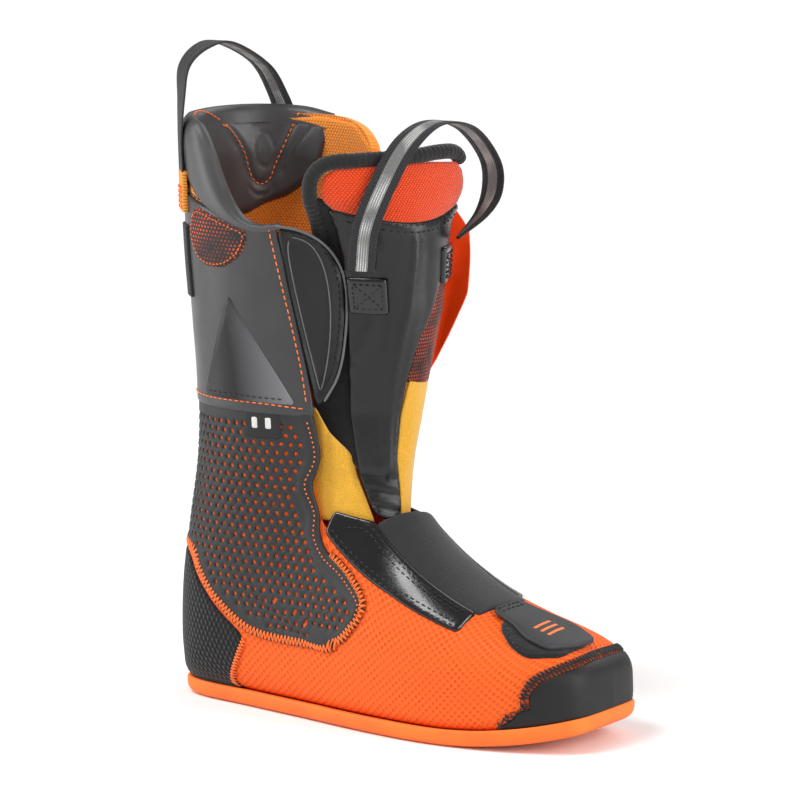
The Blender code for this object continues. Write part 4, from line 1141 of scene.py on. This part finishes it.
def collar_roll():
    """Padded roll over the rim: from the seam on the outside, over the top and down on the inside."""
    at = np.linspace(0, len(RIM) - 1, 170)
    line = spline(np.array(RIM, float), at)
    along = np.gradient(line, axis=0)
    down = np.stack([-along[:, 1], along[:, 0]], -1)
    down /= np.linalg.norm(down, axis=1)[:, None]
    drop = np.interp(at, np.arange(len(RIM)), RIM_DROP)
    inner = np.interp(at, np.arange(len(RIM)), RIM_INSIDE)
    slim = np.clip(inner / 9, 0.6, 1)
    outside = [(1.0, 1.0), (1.0, 0.3), (0.96, -0.5), (0.85, -1.1), (0.65, -1.6), (0.45, -1.9), (0.3, -1.9),
               (0.18, -1.4), (0.1, -0.6), (0.05, 0.4), (0.01, 1.8), (0.0, 3.4)]
    rows = [levels.point(*(line + down * (drop * share)[:, None]).T, depth) for share, depth in outside]
    for share in (0.01, 0.05, 0.12, 0.22, 0.36, 0.52, 0.7, 0.86, 1.0):
        away = inner * share
        depth = 3.4 + (rim_depth(away) - 3.4) * slim
        rows.append(levels.point(*(line + down * away[:, None]).T, depth))
    rows = np.array(rows)
    middle = rows.mean(axis=0)
    rows = np.concatenate([np.repeat(middle[None, :1], len(rows), axis=0), rows,
                           np.repeat(middle[None, -1:], len(rows), axis=0)], axis=1)
    add("collar_roll", [grid_mesh(rows)], paint["collar"], "boot",
        ["collar_roll_lateral", "collar_roll_medial"])
    seam("collar_seam", levels.point, [(70, 290), (40, 298), (0, 302), (-40, 298), (-70, 290)], "boot",
         "black", -0.2)


SPINE_SEAM = [(27, 338), (9, 338), (-6.5, 331.5), (-17.5, 323), (-25, 311), (-28.5, 300.5), (-32, 294.5),
              (-38, 292.6),
              (-44, 296), (-48.5, 304.5), (-57, 319), (-67, 337)]


def collar_relief(x, y, near):
    """Moulded lines of the collar: the spine between its seams, an oval, a trapezoid and the side grooves."""
    oval = np.hypot((x + 40.5) / 7.5, (y - 313) / 10)
    mark = -0.8 * np.exp(-((oval - 1) / 0.09)**2)
    mark = mark + groove(x, y, [(-24, 336), (-34, 329), (-44, 329), (-52, 336)], 0.8, 0.9)
    mark = mark + groove(x, y, [(-27, 292), (-32, 287), (-41.5, 287), (-47, 292)], 0.9, 0.9)
    mark = mark + groove(x, y, [(-79, 330), (-66, 317), (-57, 305), (-52.5, 300)], 0.9, 1.0)
    sewn = groove(x, y, SPINE_SEAM, 2.2, 1.5)
    return mark + sewn


def collar_pads():
    outline = [(72, 299), (66, 313), (56, 326), (44, 332), (0, 333), (-62, 332.5), (-80, 331), (-87, 330),
               (-87, 321), (-82.5, 307), (-72, 295), (-57, 286), (-40.5, 281), (-28.5, 275.5), (0, 274),
               (40, 276),
               (68, 281), (76, 289)]
    add("collar_pad", [sheet(levels.point, rounded(outline, 3), collar_face, 4.8, step=1.9, rim=4.0, out=-1,
                             relief=collar_relief)], paint["collar"], "boot",
        ["collar_spine", "collar_pad_lateral", "collar_pad_medial"])

    def on_collar(x, y):
        """Depth at which the seam's thread lies."""
        return collar_face(x, y) - np.where(y > 331, 0.0, 1.1)

    line = curve(SPINE_SEAM)
    add("spine_seam", [thread(levels.point, legs_along(line, 2.4, 1.2), on_collar, -0.42)],
        paint["thread_orange"],
        "boot")


# ---------------------------------------------------------------- flaps
FLAP = [(111, 283), (127, 280.5), (140, 271), (147, 255), (145.4, 234), (135.4, 199), (125, 182.5),
        (118.6, HEM_Z + 1), (115.6, 212), (113.5, 264)]
FLAP_INSET = [(116.6, 277), (125, 276), (132, 271), (136.6, 258), (136.4, 238), (131.6, 214), (123.4, 189),
              (122, 189), (119.6, 214), (118, 246)]


def flap_relief(x, y, near):
    """Rim of the flap, its recessed inset, and the ridge beside the seam."""
    spots = np.stack([x, y], -1)
    inset = even(smooth(FLAP_INSET, 2), 2, closed=True)
    inner = inside(spots, inset) * np.clip(distance(spots, inset) / 1.2, 0, 1)
    ridge = groove(x, y, [(115, 276), (115.6, 250), (117.4, 212), (119.4, 188)], 1.2, -0.7)
    return -0.9 * inner + ridge + 0.6 * np.clip((3.4 - near) / 1.2, 0, 1)


def flap_lateral():
    outline = smooth(FLAP, 2)
    add("flap_skin", [sheet(levels.point, outline, -0.6, 1.7, rim=1.3, relief=flap_relief, back=True)],
        paint["flap"],
        "flap_lateral", ["flap_lateral"])
    # raised piping along the rim and inset; its light grey is a painted rim highlight
    for name, line, depth, size in (("rim", FLAP[:6] + [(124, 182)], -1.6, 0.8),
                                    ("inset", FLAP_INSET, -0.9, 0.4)):
        line = curve(smooth(line, 2, closed=name == "inset"), 1.5)
        add("flap_piping_" + name, [piping(levels.point(line[:, 0], line[:, 1], depth), size, 8)],
            paint["flap_edge_highlight"], "flap_lateral")
    seam("flap_seam", levels.point, [(118, 279), (129, 276.4), (138, 268), (142.6, 254), (141.4, 235),
                                     (132.4, 203), (124, 187)], "flap_lateral", "black", -1.0)


def flap_medial():
    flap = rounded([(1, 183), (25, 180), (46, 184), (51, 196), (55, 214), (57, 236), (54, 258), (50, 275),
                    (40, 289),
                    (1, 289)], 6)

    def relief(x, y, near):
        line = groove(x, y, [(34, 196), (38, 230), (34, 270)], 1.4, 0.6)
        return 0.8 * np.clip((3.2 - near) / 1.2, 0, 1) + line

    add("flap_film", [sheet(medial_flap_chart, flap, -0.2, 1.6, rim=1.4, relief=relief, back=True)],
        paint["flap_orange"], "flap_medial", ["flap_medial"])


# ---------------------------------------------------------------- tongue
def mesh_window_foot(x):
    return 286 + 10 * (x / 45.0)**2


def tongue_relief(x, z, near):
    """Flex grooves at the foot, long moulded lines down the front and a piped crest."""
    bend = sum(groove(x, z, [(-36, low + 4), (0, low), (40, low + 4)], 1.5, 1.6) for low in (120, 129, 138))
    curve_mark = groove(x, z, [(43, 259), (28, 241), (33, 220), (42, 198)], 1.6, -0.9)
    spine = groove(x, z, [(3, 276), (9, 245), (15, 210), (19, 170), (20, 146)], 2.0, -1.3)
    flank = groove(x, z, [(24, 276), (24, 245), (27, 205), (28, 150)], 1.6, 1.0)
    crest = 0.9 * np.exp(-((z - mesh_window_foot(x) + 4) / 1.8)**2)
    return bend + curve_mark + spine + flank + crest


def tongue():
    left, right = TONGUE_HALF * TONGUE_LATERAL, TONGUE_HALF * TONGUE_MEDIAL
    crest = [(x, mesh_window_foot(x)) for x in np.linspace(right, left, 9)]
    shell = crest + [(left, 232), (left, 170), (left, TONGUE_FOOT + 4), (left - 12, TONGUE_FOOT),
                     (4, TONGUE_FOOT),
                     (3, 120), (7, 132), (11.5, 150), (10, 175), (6.5, 196), (1, 215), (-7, 229), (-18, 248),
                     (right, 270)]
    add("tongue_skin", [sheet(tongue_chart, rounded(shell, 5), -0.2, 2.3, rim=1.6, relief=tongue_relief,
                              back=True)],
        paint["tongue"], "tongue", ["tongue_shell"])
    side_net = [(7.5, 194), (2, 215), (-6, 229), (-17, 249), (right + 2, 270), (right, 240), (right + 1, 190)]
    add("tongue_side_net", [sheet(tongue_chart, rounded(side_net, 1.5), 0.5, 1.5, step=2.4, rim=0.8)],
        paint["net_dark"], "tongue")
    net = [(x, z - 1.5) for x, z in crest] + [(left, 310), (34, 318), (-29, 318), (right, 309)]
    add("tongue_net", [sheet(tongue_chart, smooth(net, 1), 0.4, 1.8, step=2.2, rim=1.0,
                             relief=lambda x, z, near: 1.6 * np.sqrt(np.clip(near / 12, 0, 1)))],
        paint["net"], "tongue", ["tongue_mesh"])
    foam = [(40, TONGUE_FOOT + 5), (40, 306), (33, 318), (-28, 318), (-36, 306), (-36, TONGUE_FOOT + 5)]
    add("tongue_padding", [sheet(tongue_chart, smooth(foam, 2), 7.9, 5.6, step=3.2, rim=4.5, out=-1,
                                 back=True)],
        paint["lining"], "tongue", ["tongue_foam"])
    for side, edge in (("lateral", 1), ("medial", -1)):
        wing = [(edge * 36, 198), (edge * 42, 198), (edge * 45, 214), (edge * 45, 262), (edge * 43, 302),
                (edge * 36, 296), (edge * 34, 236)]
        if edge > 0:
            wing = [(37, 138), (46, 146), (57, 162), (59, 178), (58, 196), (54, 214), (52, 262), (49, 302),
                    (36, 296), (34, 236)]
        add("tongue_wing_" + side, [sheet(tongue_chart, rounded(wing, 4), 2.4, 1.5, rim=1.2, back=True)],
            paint["pile"], "tongue")
    for row, low in enumerate((2.2, 6.2)):
        line = [(x, mesh_window_foot(x) - low) for x in np.linspace(right + 3, left - 3, 9)]
        seam("crest_seam_" + str(row), tongue_chart, line, "tongue", "black", -0.5)


def ribs(run):
    """Ribs round the tongue's binding."""
    return 1 + 0.11 * np.abs(np.sin(run * np.pi / 3.3))**0.6 - 0.06


def tongue_binding():
    route = [(1.12, 196), (1.13, 214), (1.12, 238), (1.1, 262), (1.08, 284), (1.05, 300), (1.0, 312),
             (0.84, 319.5),
             (0.5, 321), (0.0, 321.5), (-0.45, 322.5), (-0.7, 321), (-0.86, 315)]
    knots = np.array([tongue_point(v, z, 3.4) for v, z in route])
    add("binding", [piping(curve(knots, 0.5), 4.2, 20, ribs)], paint["binding"], "tongue",
        ["tongue_binding"])


def box_legs(x, z, wide, tall):
    """Stitches of a box with crossed diagonals."""
    corners = [(x - wide, z - tall), (x + wide, z - tall), (x + wide, z + tall), (x - wide, z + tall),
               (x - wide, z - tall), (x + wide, z + tall), (x - wide, z + tall), (x + wide, z - tall)]
    legs = [legs_along(even([a, b], 0.5), 1.8, 0.9) for a, b in zip(corners, corners[1:])]
    return np.concatenate(legs)


def tongue_loop():
    for side, v, z in (("lateral", 0.70, 244), ("medial", -0.62, 259)):
        x = TONGUE_HALF * v
        box = rounded([(x - 9, z - 11), (x + 9, z - 11), (x + 9, z + 10), (x - 9, z + 10)])
        add("loop_anchor_" + side, [sheet(tongue_chart, box, -2.2, 2.0, step=1.8, rim=1.0)], paint["gloss"],
            "tongue",
            ["tongue_anchor_" + side])
        add("loop_anchor_stitches_" + side, [thread(tongue_chart, box_legs(x, z - 1, 6.4, 7), -2.3, 0.36)],
            paint["thread_black"], "tongue")
    path = [(135, -25.5, 258.5), (142, -31, 284), (151, -26, 310), (159, -15.5, 331), (166, 2, 341),
            (172, 25, 336), (176, 43, 317), (176, 46, 300), (172, 41, 286), (163, 30.5, 272.5)]
    across = [(.8, .6, .1), (.85, .5, .1), (.9, .45, 0), (.95, .3, 0), (1, .1, 0), (1, .05, 0),
              (1, 0, -.1), (.95, -.1, -.1), (.8, -.4, 0), (.5, -.85, 0)]
    add("tongue_strap", [webbing(path, across, 15, 1.5)], paint["web_striped"], "tongue_loop",
        ["tongue_loop"])


def gusset(side):
    name = "lateral" if side > 0 else "medial"
    chart = gusset_chart(side, 5)
    outline = [(-1, 117), (29, 115), (29, 150), (13, 166), (5, 181), (-1, 181)]
    if side < 0:
        outline = [(-1, 117), (30, 115), (54, 115.5), (57.5, 130), (61.5, 150), (60, 175), (56.5, 196),
                   (44, 194),
                   (30, 190), (-1, 188)]
    outline = rounded(outline, 1.5)

    def relief(x, z, near):
        folds = 0.5 * np.sin(x / GUSSET_WIDE * np.pi) * np.sin(z / 9.0 + x / 9.0)
        return folds + groove(x, z, [(9, 120), (13, 185)], 1.2, 1.0)

    obj = add("stretch_" + name, [sheet(chart, outline, 0, 1.4, step=2.2, rim=0.7, relief=relief, back=True)],
              paint["fleece"], None, ["gusset_" + name])
    start, end = (chart(x, 160.0) for x in (2.0, 26.0))
    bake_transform(obj)


# ---------------------------------------------------------------- pull loops
def rear_loop():
    path = [(18.7, -35.2, 306), (18.2, -35.6, 328), (20.5, -37.5, 349), (20.5, -34, 367), (23, -20, 377),
            (26, -2, 377.5), (29, 28, 363), (29, 46, 343), (32, 51, 325), (34, 51.6, 306)]
    across = [(.7, -.72, 0), (.7, -.72, 0), (.8, -.6, .1), (.95, -.4, .1), (1, -.1, 0), (1, .2, 0),
              (.95, .3, -.2),
              (1, .3, -.2), (1, .25, -.2), (1, .2, -.2)]
    add("rear_strap", [webbing(path, across, 13, 1.5)], paint["web_rear"], "rear_loop",
        ["rear_loop"])
    for side, s in (("lateral", 29.5), ("medial", -60)):
        tab = rounded([(s, 285), (s + 15, 284), (s + 15, 308), (s, 309)])
        add("rear_tab_skin_" + side, [sheet(levels.point, tab, -3.4, 2.4, step=1.8, rim=1.1)],
            paint["tab_orange"],
            "boot", ["rear_tab_" + side])
        legs = box_legs(s + 7.5, 293, 5, 6)
        add("rear_tab_stitches_" + side, [thread(levels.point, legs, -3.5, 0.34)], paint["thread_orange"],
            "boot")


def strap_tail():
    tail = rounded([(28, 236), (43, 236), (44, 277.6), (29, 277.6)], 1.5)
    add("tail_web", [sheet(levels.point, tail, -2.3, 1.3, step=2, rim=0.8, back=True)], paint["web"],
        "strap_tail",
        ["strap_tail"])


# ---------------------------------------------------------------- studio
def studio():
    """Plain pale floor, soft even light and the camera at the photo's angle."""
    scene = bpy.context.scene
    mesh = bpy.data.meshes.new("floor")
    mesh.from_pydata([(-12, -12, 0), (12, -12, 0), (12, 12, 0), (-12, 12, 0)], [], [(0, 1, 2, 3)])
    floor = bpy.data.objects.new("floor", mesh)
    pale = bpy.data.materials.new("floor_white")
    pale.use_nodes = True
    shader = pale.node_tree.nodes["Principled BSDF"]
    shader.inputs["Base Color"].default_value = (0.93, 0.93, 0.93, 1)
    shader.inputs["Roughness"].default_value = 0.9
    shader.inputs["Specular IOR Level"].default_value = 0.1
    mesh.materials.append(pale)
    scene.collection.objects.link(floor)
    floor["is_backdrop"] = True

    world = bpy.data.worlds.new("white_room")
    world.use_nodes = True
    world.node_tree.nodes["Background"].inputs["Color"].default_value = (1, 1, 1, 1)
    world.node_tree.nodes["Background"].inputs["Strength"].default_value = 0.42
    scene.world = world
    lamps = (("key", (-0.3, -0.5, 1.0), 1.75, 25), ("front", (0.9, -0.35, 0.45), 0.7, 25),
             ("back", (0.1, 0.9, 0.7), 0.7, 40))
    for name, place, power, angle in lamps:
        lamp = bpy.data.lights.new(name, "SUN")
        lamp.energy = power
        lamp.angle = math.radians(angle)
        obj = bpy.data.objects.new(name, lamp)
        obj.rotation_euler = Vector(place).to_track_quat("Z", "Y").to_euler()
        scene.collection.objects.link(obj)
    panels = (("left_panel", (-1.1, -0.75, 0.5), 10, 0.35, 1.3),
              ("right_panel", (1.3, 0.1, 0.5), 10, 0.3, 1.2))
    for name, place, power, wide, tall in panels:
        lamp = bpy.data.lights.new(name, "AREA")
        lamp.shape = "RECTANGLE"
        lamp.energy = power
        lamp.size = wide
        lamp.size_y = tall
        obj = bpy.data.objects.new(name, lamp)
        obj.location = place
        obj.rotation_euler = (Vector(place) - Vector((0, 0, 0.18))).to_track_quat("Z", "Y").to_euler()
        scene.collection.objects.link(obj)
    camera = bpy.data.cameras.new("camera")
    camera.lens = 238.5
    camera.sensor_width = 36
    view = bpy.data.objects.new("camera", camera)
    place = Vector((1.6644, -2.4456, 0.7116))
    view.location = place
    view.rotation_euler = (place - Vector((0.0266, 0.0112, 0.1800))).to_track_quat("Z", "Y").to_euler()
    scene.collection.objects.link(view)
    scene.camera = view
    scene.view_settings.view_transform = "Standard"


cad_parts["insole_board"].data.materials.clear()
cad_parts["insole_board"].data.materials.append(paint["rubber"])
outsole()
footbed()
foam_sock()
forefoot()
toe_tab()
ankle()
cuff()
collar_roll()
collar_pads()
flap_lateral()
flap_medial()
tongue()
tongue_binding()
tongue_loop()
gusset(1)
gusset(-1)
rear_loop()
strap_tail()
studio()

sizes = {"at_load": SIZE_AT_LOAD, "at_finish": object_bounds()}
{key: [list(corner) for corner in value] for key, value in sizes.items()}
